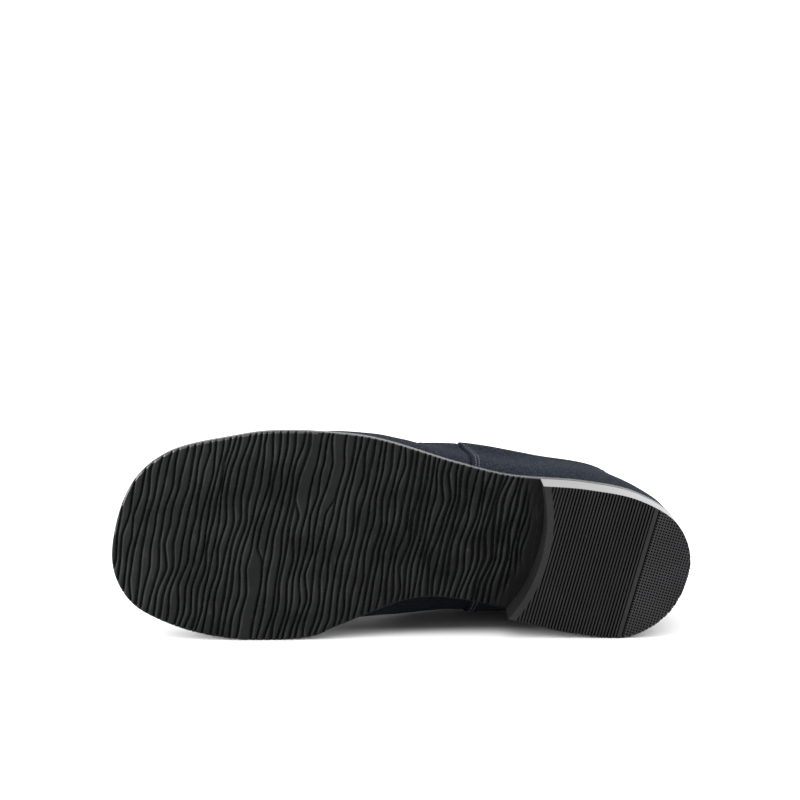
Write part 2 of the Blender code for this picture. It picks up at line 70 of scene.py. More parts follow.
# The sole's edge from above, from the toe tip along the outer side and back along the inner side
soleEdgePoints = (
    (0.000, 0.144), (0.033, -0.220), (0.098, -0.388), (0.217, -0.475), (0.292, -0.499), (0.439, -0.467),
    (0.600, -0.315), (0.686, -0.251), (0.821, -0.217), (0.913, -0.162), (0.978, -0.047), (1.000, 0.134),
    (0.967, 0.366), (0.896, 0.490), (0.797, 0.474), (0.685, 0.403), (0.530, 0.327), (0.394, 0.434),
    (0.343, 0.488), (0.205, 0.496), (0.093, 0.425), (0.029, 0.325),
)

# Sections of the upper, each the wall's line from the sole's edge to the topline, in shares as in the part
upperSections = (
    # side, along, topX, topY, topZ, swell, rise, reach, drop
    ("toe", 0.000, 0.345, 0.055, 0.74, 0.000, 0.60, 0.62, 0.26),
    ("outer", 0.040, 0.352, -0.070, 0.71, 0.004, 0.60, 0.60, 0.24),
    ("outer", 0.160, 0.378, -0.175, 0.65, 0.008, 0.60, 0.58, 0.20),
    ("outer", 0.330, 0.430, -0.270, 0.59, 0.004, 0.58, 0.60, 0.20),
    ("outer", 0.480, 0.505, -0.340, 0.59, 0.028, 0.45, 0.80, 0.35),
    ("outer", 0.628, 0.607, -0.332, 0.65, 0.058, 0.42, 1.00, 0.35),
    ("outer", 0.760, 0.745, -0.252, 0.74, 0.060, 0.37, 0.95, 0.40),
    ("outer", 0.890, 0.875, -0.158, 0.85, 0.030, 0.46, 0.58, 0.40),
    ("heel", 1.000, 0.956, 0.140, 0.93, 0.008, 0.40, 0.80, 0.35),
    ("inner", 0.890, 0.875, 0.412, 0.85, 0.030, 0.40, 0.80, 0.40),
    ("inner", 0.760, 0.745, 0.470, 0.74, 0.045, 0.40, 0.85, 0.40),
    ("inner", 0.628, 0.607, 0.485, 0.66, 0.195, 0.38, 0.38, 0.30),
    ("inner", 0.480, 0.485, 0.472, 0.59, 0.185, 0.40, 0.25, 0.30),
    ("inner", 0.330, 0.415, 0.290, 0.60, 0.015, 0.55, 0.60, 0.22),
    ("inner", 0.150, 0.370, 0.195, 0.66, 0.008, 0.60, 0.60, 0.22),
    ("inner", 0.040, 0.350, 0.125, 0.71, 0.004, 0.60, 0.62, 0.25),
)


def smoothStep(t):
    t = min(max(t, 0.0), 1.0)
    return t * t * (3.0 - 2.0 * t)


def cubic(start, leave, end, arrive, t):
    return (
        start * (2 * t**3 - 3 * t**2 + 1)
        + leave * (t**3 - 2 * t**2 + t)
        + end * (3 * t**2 - 2 * t**3)
        + arrive * (t**3 - t**2)
    )


def findPlace(low, high, isBefore, rounds=40):
    # The place between low and high where isBefore turns false, found by halving
    for _ in range(rounds):
        middle = (low + high) / 2
        if isBefore(middle):
            low = middle
        else:
            high = middle
    return (low + high) / 2


def smoothLine(points, steps, closed=False):
    points = [Vector(p) for p in points]
    if not closed:
        points = [points[0] * 2 - points[1]] + points + [points[-1] * 2 - points[-2]]
    count = len(points)
    line = []
    for i in range(count if closed else count - 3):
        first = i - 1 if closed else i
        before, start, end, after = (points[(first + k) % count] for k in range(4))
        d1 = math.sqrt((start - before).length)
        d2 = math.sqrt((end - start).length)
        d3 = math.sqrt((after - end).length)
        leave = ((start - before) / d1 - (end - before) / (d1 + d2) + (end - start) / d2) * d2
        arrive = ((end - start) / d2 - (after - start) / (d2 + d3) + (after - end) / d3) * d2
        line += [cubic(start, leave, end, arrive, k / steps) for k in range(steps)]
    if not closed:
        line.append(points[-2])
    return line


class Line:
    # A line through many points, read by the distance along it
    def __init__(self, points):
        self.points = points
        self.along = [0.0]
        for a, b in zip(points, points[1:]):
            self.along.append(self.along[-1] + (b - a).length)
        self.length = self.along[-1]

    def at(self, distance):
        i = min(max(bisect_right(self.along, distance) - 1, 0), len(self.points) - 2)
        share = (distance - self.along[i]) / (self.along[i + 1] - self.along[i])
        return self.points[i].lerp(self.points[i + 1], share)


def underside(x):
    share = x / length
    spring = shoe["toeSpring"] * max(1.0 - share / shoe["springEnd"], 0.0) ** 2
    shank = (share - shoe["shankStart"]) / (shoe["shankEnd"] - shoe["shankStart"])
    return spring + shoe["heelHeight"] * smoothStep(shank)


def soleTop(x):
    return underside(x) + shoe["soleThickness"]


class SoleEdge:
    def __init__(self):
        anchors = [(x * length, y * ballWidth, 0.0) for x, y in soleEdgePoints]
        points = smoothLine(anchors, 24, closed=True)
        self.heel = Line(points[: len(points) // 2 + 1]).length
        self.line = Line(points + points[:1])
        self.length = self.line.length

    def at(self, distance):
        return self.line.at(distance % self.length)

    def inward(self, distance):
        reach = 0.0045
        direction = (self.at(distance + reach) - self.at(distance - reach)).normalized()
        return Vector((-direction.y, direction.x, 0.0))

    def distanceOf(self, side, share):
        if side == "toe":
            return 0.0
        if side == "heel":
            return self.heel
        start = 0.0 if side == "outer" else self.length
        return findPlace(start, self.heel, lambda d: self.at(d).x < share * length)


soleEdge = SoleEdge()


class Breast:
    # The hollow front of the heel, an arc of a circle seen from above
    def __init__(self):
        inner, outer = (
            Vector((x * length, y * ballWidth, 0.0)) for x, y in (shoe["breastInner"], shoe["breastOuter"])
        )
        hollow = shoe["breastHollow"]
        chord = (inner - outer).length
        self.radius = (chord**2 / 4 + hollow**2) / (2 * hollow)
        self.forward = Vector((0.0, 0.0, 1.0)).cross(inner - outer).normalized()
        self.centre = (inner + outer) / 2 + self.forward * (self.radius - hollow)

    def behind(self, x, y):
        return math.hypot(x - self.centre.x, y - self.centre.y) - self.radius


breast = Breast()


def rowMatrix():
    mounts = {m["name"]: m for m in frame["record"]["mounts"]}
    up = -Vector(mounts["heel_tread"]["axis"]).normalized()
    heelSpot = Vector(mounts["heel_tread"]["pos_m"])
    along = heelSpot - Vector(mounts["forepart_tread"]["pos_m"])
    along = (along - up * along.dot(up)).normalized()
    inner = up.cross(along)
    x, y = shoe["heelSpot"]
    origin = heelSpot - along * x - inner * y
    turn = Matrix((along, inner, up)).transposed().to_4x4()
    return Matrix.Translation(origin) @ turn


toRow = rowMatrix()
print("shoe frame", [round(v, 5) for v in toRow.translation])


def gridMesh(columns, rows, place):
    bm = bmesh.new()
    bm.loops.layers.uv.new("UVMap")
    bmesh.ops.create_grid(bm, x_segments=columns, y_segments=rows, size=0.5, calc_uvs=True)
    for vert in bm.verts:
        i = round((vert.co.x + 0.5) * columns)
        j = round((vert.co.y + 0.5) * rows)
        vert.co = place(i, j)
    return bm


def closeUp(bm):
    bmesh.ops.remove_doubles(bm, verts=bm.verts, dist=0.000001)
    bmesh.ops.dissolve_degenerate(bm, edges=bm.edges, dist=0.0000005)
    bmesh.ops.recalc_face_normals(bm, faces=bm.faces)


def makePiece(bm, name, materials, replaced=(), sharp=40):
    bm.transform(toRow)
    mesh = bpy.data.meshes.new(name)
    bm.to_mesh(mesh)
    bm.free()
    for material in materials:
        mesh.materials.append(material)
    mesh.shade_smooth()
    mesh.set_sharp_from_angle(angle=math.radians(sharp))
    piece = bpy.data.objects.new(name, mesh)
    bpy.context.scene.collection.objects.link(piece)
    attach(piece, "root")
    if replaced:
        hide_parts(*replaced)
    print(name, len(mesh.polygons), "faces")
    return piece


# Materials


class Field:
    # A number that changes over the surface: arithmetic on it adds Math nodes
    def __init__(self, paint, socket):
        self.paint = paint
        self.socket = socket

    def op(self, operation, *others):
        return self.paint.math(operation, self, *others)

    def __add__(self, other):
        return self.op("ADD", other)

    def __sub__(self, other):
        return self.op("SUBTRACT", other)

    def __rsub__(self, other):
        return self.paint.math("SUBTRACT", other, self)

    def __mul__(self, other):
        return self.op("MULTIPLY", other)

    __radd__ = __add__
    __rmul__ = __mul__

    def between(self, low, high):
        return self.paint.node(
            "ShaderNodeMapRange",
            {"interpolation_type": "SMOOTHSTEP"},
            {"Value": self, "From Min": low, "From Max": high},
        ).out("Result")


class Paint:
    # A material made of nodes
    def __init__(self, name):
        self.material = bpy.data.materials.new(name)
        self.material.use_nodes = True
        self.tree = self.material.node_tree
        self.shader = self.tree.nodes["Principled BSDF"]

    def node(self, kind, settings=None, inputs=None):
        made = self.tree.nodes.new(kind)
        for key, value in (settings or {}).items():
            setattr(made, key, value)
        for key, value in (inputs or {}).items():
            self.feed(made.inputs[key], value)
        return Made(self, made)

    def feed(self, socket, value):
        if isinstance(value, Field):
            self.tree.links.new(value.socket, socket)
        else:
            socket.default_value = value

    def math(self, operation, first, *others):
        inputs = {0: first}
        for i, other in enumerate(others):
            inputs[i + 1] = other
        return self.node("ShaderNodeMath", {"operation": operation}, inputs).out(0)

    def finish(self, inputs):
        for key, value in inputs.items():
            self.feed(self.shader.inputs[key], value)
        return self.material

    def place(self, scale=(1.0, 1.0, 1.0), turn=(0.0, 0.0, 0.0)):
        where = self.node("ShaderNodeTexCoord").out("Object")
        inputs = {"Vector": where, "Scale": scale, "Rotation": turn}
        return self.node("ShaderNodeMapping", None, inputs).out(0)

    def attribute(self, name):
        return self.node("ShaderNodeAttribute", {"attribute_name": name}).out("Fac")

    def noise(self, where, scale, detail=3.0, roughness=0.55):
        inputs = {"Vector": where, "Scale": scale, "Detail": detail, "Roughness": roughness}
        return self.node("ShaderNodeTexNoise", None, inputs).out("Fac")

    def mix(self, factor, first, second):
        made = self.node("ShaderNodeMix", {"data_type": "RGBA"})
        self.feed(made.made.inputs[0], factor)
        self.feed(made.made.inputs[6], first)
        self.feed(made.made.inputs[7], second)
        return made.out(2)

    def bump(self, height, strength, distance, normal=None):
        inputs = {"Height": height, "Strength": strength, "Distance": distance}
        if normal:
            inputs["Normal"] = normal
        return self.node("ShaderNodeBump", None, inputs).out("Normal")


class Made:
    def __init__(self, paint, made):
        self.paint = paint
        self.made = made

    def out(self, key):
        return Field(self.paint, self.made.outputs[key])


def blackRubber(name, dark, light, specular, ribPaintedLightAndShade=False):
    paint = Paint(name)
    where = paint.place()
    grain = paint.noise(where, 2600.0, 2.0)
    blotch = paint.noise(where, 60.0, 4.0, 0.6)
    scuff = paint.noise(paint.place((1.0, 1.0, 0.28), (0.0, 0.6, 0.0)), 420.0, 3.0, 0.7).between(0.60, 0.80)
    colour = paint.mix(blotch.between(0.35, 0.75), dark, light)
    # the tread's ribs get a painted highlight and its grooves painted shade
    if ribPaintedLightAndShade:
        patchy = blotch.between(0.30, 0.62)
        # painted highlight along the left edge of each rib
        colour = paint.mix(paint.attribute("ribEdgeHighlight") * patchy * 0.55, colour, (0.030, 0.031, 0.032, 1.0))
        # painted shade: the grooves and the corner before the heel's breast are darkened to near black
        colour = paint.mix(paint.attribute("groove") * 0.8, colour, (0.0012, 0.0012, 0.0012, 1.0))
    colour = paint.mix(scuff * 0.30, colour, (0.05, 0.05, 0.053, 1.0))
    rough = blotch * 0.16 + 0.50
    return paint.finish({
        "Base Color": colour,
        "Roughness": rough,
        "Specular IOR Level": specular,
        "Normal": paint.bump(grain, 0.25, 0.00012),
    })


def sideRubber():
    paint = Paint("sideRubber")
    where = paint.place()
    grain = paint.noise(where, 1400.0, 2.0)
    blotch = paint.noise(where, 45.0, 4.0, 0.6)
    colour = paint.mix(blotch.between(0.35, 0.75), (0.010, 0.010, 0.011, 1.0), (0.018, 0.018, 0.019, 1.0))
    return paint.finish({
        "Base Color": colour,
        "Roughness": blotch * 0.10 + 0.24,
        "Specular IOR Level": 0.5,
        "Coat Weight": 0.12,
        "Coat Roughness": 0.20,
        "Normal": paint.bump(grain, 0.10, 0.00008),
    })


def navyNubuck():
    paint = Paint("navyNubuck")
    where = paint.place()
    nap = paint.noise(where, 2300.0, 4.0, 0.65)
    cloud = paint.noise(where, 38.0, 4.0, 0.6)
    speck = paint.noise(where, 1400.0, 2.0, 0.6)
    patch = paint.noise(where, 560.0, 3.0, 0.7)
    colour = paint.mix(
        cloud.between(0.3, 0.75), (0.0075, 0.0100, 0.0175, 1.0), (0.0125, 0.0155, 0.0240, 1.0)
    )
    colour = paint.mix((1.0 - speck).between(0.46, 0.62) * 0.65, colour, (0.0020, 0.0028, 0.0052, 1.0))
    colour = paint.mix((1.0 - patch).between(0.40, 0.64) * 0.40, colour, (0.0030, 0.0040, 0.0070, 1.0))
    colour = paint.mix(speck.between(0.48, 0.72) * 0.75, colour, (0.045, 0.054, 0.072, 1.0))
    # painted shade along the quarter's seam edge and low on the inner side under the arch
    colour = paint.mix(paint.attribute("seam"), colour, (0.0010, 0.0013, 0.0022, 1.0))
    return paint.finish({
        "Base Color": colour,
        "Roughness": 0.92,
        "Specular IOR Level": 0.04,
        "Sheen Weight": 0.02,
        "Sheen Roughness": 0.45,
        "Sheen Tint": (0.62, 0.72, 0.85, 1.0),
        "Normal": paint.bump(nap, 0.8, 0.00045),
    })


def liningLeather():
    paint = Paint("liningLeather")
    where = paint.place()
    pores = paint.noise(where, 1900.0, 3.0, 0.6)
    cloud = paint.noise(where, 30.0, 3.0, 0.6)
    colour = paint.mix(cloud, (0.23, 0.205, 0.18, 1.0), (0.33, 0.30, 0.265, 1.0))
    return paint.finish({
        "Base Color": colour,
        "Roughness": 0.62 + cloud * 0.12,
        "Specular IOR Level": 0.4,
        "Normal": paint.bump(pores, 0.35, 0.0002),
    })


def sewingThread(name, dark, light):
    paint = Paint(name)
    where = paint.place()
    fibre = paint.noise(where, 4200.0, 2.0)
    colour = paint.mix(fibre.between(0.3, 0.7), dark, light)
    return paint.finish({"Base Color": colour, "Roughness": 0.75, "Normal": paint.bump(fibre, 0.4, 0.0001)})


def satinSteel():
    paint = Paint("satinSteel")
    scratch = paint.noise(paint.place((1.0, 6.0, 6.0)), 700.0, 3.0, 0.6)
    cloud = paint.noise(paint.place(), 90.0, 3.0)
    colour = paint.mix(cloud, (0.30, 0.30, 0.31, 1.0), (0.42, 0.42, 0.43, 1.0))
    return paint.finish({
        "Base Color": colour,
        "Metallic": 1.0,
        "Roughness": 0.22 + scratch * 0.16,
        "Normal": paint.bump(scratch, 0.08, 0.00005),
    })


rubbers = {      # dark and light colour, specular level, with painted groove shade and rib-edge highlights or not
    "treadRubber": ((0.0040, 0.0043, 0.0043, 1.0), (0.0075, 0.0079, 0.0075, 1.0), 0.10, True),
    "blockRubber": ((0.0055, 0.0056, 0.0060, 1.0), (0.0100, 0.0102, 0.0107, 1.0), 0.22),
    "dottedRubber": ((0.0100, 0.0100, 0.0112, 1.0), (0.0170, 0.0170, 0.0185, 1.0), 0.26),
    # the last rubber is near-black: painted shade for the heel's groove floors and the strap's holes
    "paintedShadeRubber": ((0.0012, 0.0012, 0.0013, 1.0), (0.0022, 0.0022, 0.0023, 1.0), 0.06),
}
treadRubber, blockRubber, dottedRubber, paintedShadeRubber = (
    blackRubber(name, *finish) for name, finish in rubbers.items()
)
sideGloss = sideRubber()
nubuck = navyNubuck()
lining = liningLeather()
paleThread = sewingThread("paleThread", (0.022, 0.028, 0.040, 1.0), (0.085, 0.100, 0.130, 1.0))
navyThread = sewingThread("navyThread", (0.010, 0.014, 0.024, 1.0), (0.020, 0.026, 0.040, 1.0))
steel = satinSteel()
print("materials made")


# The camera, as the photo was taken

view = {
    "target": (0.000439, 0.0, 0.09919),
    "distance": 0.9087,
    "elevation": 8.451,
    "azimuth": -0.792,
    "roll": -0.151,
    "lens": 92.153,
    "sensor": 36.0,
}


def makeCamera():
    a = math.radians(view["azimuth"])
    e = math.radians(view["elevation"])
    back = Vector((math.sin(a) * math.cos(e), -math.cos(a) * math.cos(e), math.sin(e)))
    data = bpy.data.cameras.new("camera")
    data.lens = view["lens"]
    data.sensor_width = view["sensor"]
    data.clip_start = 0.01
    data.clip_end = 50.0
    camera = bpy.data.objects.new("camera", data)
    bpy.context.scene.collection.objects.link(camera)
    turn = (-back).to_track_quat("-Z", "Y").to_matrix().to_4x4()
    roll = Matrix.Rotation(math.radians(view["roll"]), 4, "Z")
    camera.matrix_world = Matrix.Translation(Vector(view["target"]) + back * view["distance"]) @ turn @ roll
    bpy.context.scene.camera = camera


makeCamera()

# The outsole

outsole = {
    "lean": 0.20,              # how far a rib leans along the shoe for each length across it
    "columnStep": 0.00026,
    "heelStep": 0.0015,
    "tipStep": 0.000012,
    "heelTipStep": 0.00006,
    "treadRows": 88,
    "topRows": 4,
    "wall": (                  # inset from the sole's edge, height over the tread
        (0.0009, 0.0), (0.0003, 0.0002), (0.0, 0.0008), (0.0, 0.0016), (0.0, 0.0026), (0.0004, 0.0029),
        (0.0004, 0.0032), (0.0, 0.0035), (0.0, 0.0042), (0.0004, 0.0046),
    ),
    "firstGroove": 0.0045,
    "lastGroove": 0.205,
    "pitchToe": 0.0031,
    "pitchWaist": 0.0027,
    "uneven": 0.12,
    "depth": 0.0012,
    "slopedSide": 0.00125,     # a groove's walls, towards the toe and towards the heel
    "steepSide": 0.00075,
    "bendStep": 0.0120,        # from one bend of a groove to the next
    "wander": 0.0015,          # how far the grooves wander together, and each by itself
    "ownWander": 0.0007,
    "bandWidth": 0.013,        # neighbours within such a band wander together
    "joining": 0.09,           # share of the grooves that run into their neighbour
    "joinLength": 0.009,
    "reach": 0.0040,           # how far from its own place a groove can be met
    "runOut": (0.0040, 0.0045),     # in front of the heel: the plain edge, and where the grooves fade
    "rimTo": 0.36,             # the pale rim of the outer side, and the inner side under the arch, which gets the duller, darker block rubber as painted shade
    "archFrom": 0.34,
    "archTo": 0.70,
    "seed": 11,
}


def bent(column, y, step, start):
    # Random values along y joined by nearly straight lines
    t = y / step + start
    j = math.floor(t)
    t -= j
    t += 0.4 * (smoothStep(t) - t)
    a = noise.cell(Vector((column + 0.5, j + 0.5, 0.5)))
    b = noise.cell(Vector((column + 0.5, j + 1.5, 0.5)))
    return a + (b - a) * t - 0.5


class Groove:
    def __init__(self, index, place, dice):
        self.index = index
        self.place = place
        self.start = dice.random()
        self.width = dice.uniform(0.80, 1.15)
        self.neighbour = None
        reach = dice.uniform(0.010, 0.034)
        self.way = dice.choice((-1, 1))
        self.end = reach * self.way

    def at(self, y):
        column = self.place / outsole["bandWidth"]
        i = math.floor(column)
        share = smoothStep(column - i)
        first = bent(i, y, outsole["bendStep"], 0.37 * i)
        second = bent(i + 1, y, outsole["bendStep"], 0.37 * (i + 1))
        s = self.place + outsole["wander"] * (first + (second - first) * share)
        s += outsole["ownWander"] * bent(1000 + self.index, y, outsole["bendStep"] * 0.8, self.start)
        if self.neighbour:
            near = 1.0 - self.inside(y) / outsole["joinLength"]
            s += (self.neighbour.at(y) - s) * smoothStep(near)
        return s

    def inside(self, y):
        # How far this place still is from where the groove runs into its neighbour
        return (self.end - y) * self.way if self.neighbour else 1.0


def makeGrooves():
    dice = random.Random(outsole["seed"])
    grooves = []
    s = outsole["firstGroove"]
    while s < outsole["lastGroove"]:
        grooves.append(Groove(len(grooves), s, dice))
        share = min(s / (0.6 * length), 1.0)
        pitch = outsole["pitchToe"] + (outsole["pitchWaist"] - outsole["pitchToe"]) * share
        s += pitch * dice.uniform(1.0 - outsole["uneven"], 1.0 + outsole["uneven"])
    last = 0
    for i in range(2, len(grooves) - 1):
        if i > last + 2 and dice.random() < outsole["joining"]:
            grooves[i].neighbour = grooves[i + dice.choice((-1, 1))]
            last = i
    return grooves


grooves = makeGrooves()
groovePlaces = [groove.place for groove in grooves]


def grooveAt(x, y):
    # 0 on a rib and 1 on a groove's floor, then how close this is to a rib's left edge, which gets a painted
    # highlight
    s = x + outsole["lean"] * y
    low = bisect_right(groovePlaces, s - outsole["reach"])
    high = bisect_right(groovePlaces, s + outsole["reach"])
    deepest = 0.0
    ribEdgeHighlight = 0.0
    for groove in grooves[low:high]:
        left = groove.inside(y)
        if left < -0.001:
            continue
        offset = s - groove.at(y)
        side = outsole["steepSide"] if offset > 0 else outsole["slopedSide"]
        swing = noise.noise(Vector((groove.place / 0.004, y / 0.012, 5.2)))
        width = side * groove.width * (1.0 + 0.35 * swing)
        fill = max(1.0 - abs(offset) / width, 0.0)
        fill = smoothStep(fill * 1.15) if offset > 0 else min(1.15 * fill**1.8, 1.0)
        deepest = max(deepest, fill * smoothStep((left + 0.001) / 0.002))
        # a painted highlight along the rib's left edge, as if lit from the left
        ribEdgeHighlight = max(ribEdgeHighlight, math.exp(-(((offset - 1.15 * outsole["steepSide"]) / 0.00045) ** 2)))
    if x > breast.centre.x:
        plain, fade = outsole["runOut"]
        deepest *= smoothStep((-breast.behind(x, y) - plain) / fade)
    return deepest, ribEdgeHighlight * (1.0 - deepest)


def shearedSides(lean):
    # The sole's edge read by x + lean * y, on the outer and on the inner side
    count = 4000
    ds = np.linspace(0.0, soleEdge.length, count + 1)[:-1]
    points = [soleEdge.at(d) for d in ds]
    s = np.array([p.x + lean * p.y for p in points])
    low = int(np.argmin(s))
    s = np.roll(s, -low)
    ds = np.roll(ds, -low)
    ds = np.where(ds < ds[0], ds + soleEdge.length, ds)
    high = int(np.argmax(s))
    outer = (s[: high + 1], ds[: high + 1])
    inner = (np.append(s[high:], s[0])[::-1], np.append(ds[high:], ds[0] + soleEdge.length)[::-1])
    return outer, inner


def columnPlaces(low, high, fine, coarse, fineEnd, tip, heelTip):
    places = [low]
    k = 1
    while (2 * k + 1) * tip < fine:
        places.append(low + tip * k * k)
        k += 1
    while places[-1] < min(fineEnd, high - fine * 2):
        places.append(places[-1] + fine)
    ends = [high]
    k = 1
    while (2 * k + 1) * heelTip < coarse:
        ends.append(high - heelTip * k * k)
        k += 1
    gapLeft = ends[-1] - places[-1]
    steps = max(1, round(gapLeft / coarse))
    places += [places[-1] + gapLeft * i / steps for i in range(1, steps)]
    return places + ends[::-1]


def slabMesh(lean, places, inset, wall, treadRows, topRows, lowest, highest):
    # A closed slab in rings: each ring is one column, down its outer wall, across below, up and back above
    outer, inner = shearedSides(lean)
    edges = []
    for s in places:
        ends = []
        for table in (outer, inner):
            d = float(np.interp(s, *table))
            ends.append((soleEdge.at(d), soleEdge.inward(d)))
        edges.append(ends)
    wallRows = len(wall) - 1
    rows = 2 * wallRows + treadRows + topRows

    def place(i, j):
        (outerPoint, outerIn), (innerPoint, innerIn) = edges[i]
        if j <= wallRows:
            depth, z = wall[wallRows - j]
            p = outerPoint + outerIn * (inset + depth)
        elif j < wallRows + treadRows:
            share = (j - wallRows) / treadRows
            p = (outerPoint + outerIn * (inset + wall[0][0])).lerp(
                innerPoint + innerIn * (inset + wall[0][0]), share
            )
            z = 0.0
        elif j <= 2 * wallRows + treadRows:
            depth, z = wall[j - wallRows - treadRows]
            p = innerPoint + innerIn * (inset + depth)
        else:
            share = (j - 2 * wallRows - treadRows) / topRows
            p = (innerPoint + innerIn * (inset + wall[-1][0])).lerp(
                outerPoint + outerIn * (inset + wall[-1][0]), share
            )
            p.z = highest(p.x, p.y)
            return p
        low = lowest(p.x, p.y)
        full = highest(p.x, p.y)
        p.z = max(low, full - wall[-1][1] + z)
        return p

    bm = gridMesh(len(places) - 1, rows, place)
    return bm, wallRows


def makeOutsole():
    outer, _ = shearedSides(outsole["lean"])
    places = columnPlaces(
        float(outer[0][0]), float(outer[0][-1]), outsole["columnStep"], outsole["heelStep"],
        outsole["lastGroove"], outsole["tipStep"], outsole["heelTipStep"],
    )

    def lowest(x, y):
        return underside(x) + outsole["depth"] * grooveAt(x, y)[0]

    bm, wallRows = slabMesh(
        outsole["lean"], places, 0.0, outsole["wall"], outsole["treadRows"], outsole["topRows"],
        lowest, lambda x, y: soleTop(x),
    )
    rows = 2 * wallRows + outsole["treadRows"] + outsole["topRows"]
    uv = bm.loops.layers.uv.active
    for face in bm.faces:
        row = rows * sum(loop[uv].uv.y for loop in face.loops) / len(face.loops)
        fromTop = min(row, 2 * wallRows + outsole["treadRows"] - row)
        inner = row > wallRows + outsole["treadRows"] / 2
        share = face.calc_center_median().x / length
        ribEnds = fromTop > wallRows - 1 and (inner or share > outsole["rimTo"])
        if fromTop < 0 or fromTop > wallRows or ribEnds:
            face.material_index = 0
        else:
            glossy = fromTop < 2 or 5 < fromTop < 6 or fromTop > wallRows - 2
            # under the arch the inner wall gets the duller, darker block rubber as painted shade
            arch = inner and outsole["archFrom"] < share < outsole["archTo"]
            face.material_index = 1 if glossy and not arch else 2
    closeUp(bm)
    # painted shade in the grooves and a painted highlight on the rib edges, kept per vertex
    paintedShadeLayer = bm.verts.layers.float.new("groove")
    ribEdgeHighlightLayer = bm.verts.layers.float.new("ribEdgeHighlight")
    for vert in bm.verts:
        x, y, z = vert.co
        groove, ribEdgeHighlight = grooveAt(x, y)
        # painted shade in the deep corner before the heel's breast
        if x > breast.centre.x:
            groove = max(groove, smoothStep((breast.behind(x, y) + 0.012) / 0.007))
        vert[paintedShadeLayer] = groove if z < soleTop(x) - 0.0008 else 0.0
        # the painted highlight on the rib's left edge
        vert[ribEdgeHighlightLayer] = ribEdgeHighlight
    materials = (treadRubber, sideGloss, blockRubber)
    return makePiece(bm, "outsoleRubber", materials, ("outsole",), 50)


makeOutsole()

# The heel

heel = {
    "lean": 0.274,
    "ribPitch": 0.0014,
    "ribShare": 0.46,
    "depth": 0.0010,
    "strip": 0.0028,
    "bandPlace": 0.2319,
    "bandWidth": 0.0018,
    "bandGroove": 0.0006,
    "dotPitch": 0.00127,
    "pitShare": 0.60,
    "ribsFrom": 0.170,
    "dotsTo": 0.262,
    "dotRows": 110,
    "dotRowsFrom": -0.11,
    "edgeStep": 0.0007,
    "arcPoints": 60,
    "sharpCut": 0.0000001,     # a cut this close to a corner goes through it
}
heel["bandStart"] = heel["bandPlace"] - heel["bandWidth"] / 2
heel["bandEnd"] = heel["bandPlace"] + heel["bandWidth"] / 2


def crossing(start, behind):
    # Where the sole's edge comes out so far behind the breast
    return findPlace(start, soleEdge.heel, lambda d: breast.behind(*soleEdge.at(d).xy) < behind)


def heelTop(x, y):
    # Whether the tread stands at full height here, and not in a groove
    s = x + heel["lean"] * y
    if s < heel["bandStart"]:
        back = (heel["bandStart"] - heel["bandGroove"] - s) / heel["ribPitch"]
        return back > 0 and back - math.floor(back) < heel["ribShare"]
    if s < heel["bandEnd"]:
        return True
    along = (s - heel["bandEnd"] - heel["bandGroove"]) / heel["dotPitch"]
    across = (y - heel["lean"] * x) / heel["dotPitch"]
    if along < 0:
        return False
    return along - math.floor(along) > heel["pitShare"] or across - math.floor(across) > heel["pitShare"]


def cutFaces(bm, faces, place, normal):
    edges = list({e for f in faces for e in f.edges})
    verts = list({v for f in faces for v in f.verts})
    bmesh.ops.bisect_plane(
        bm, geom=faces + edges + verts, plane_co=normal * place, plane_no=normal, dist=heel["sharpCut"]
    )


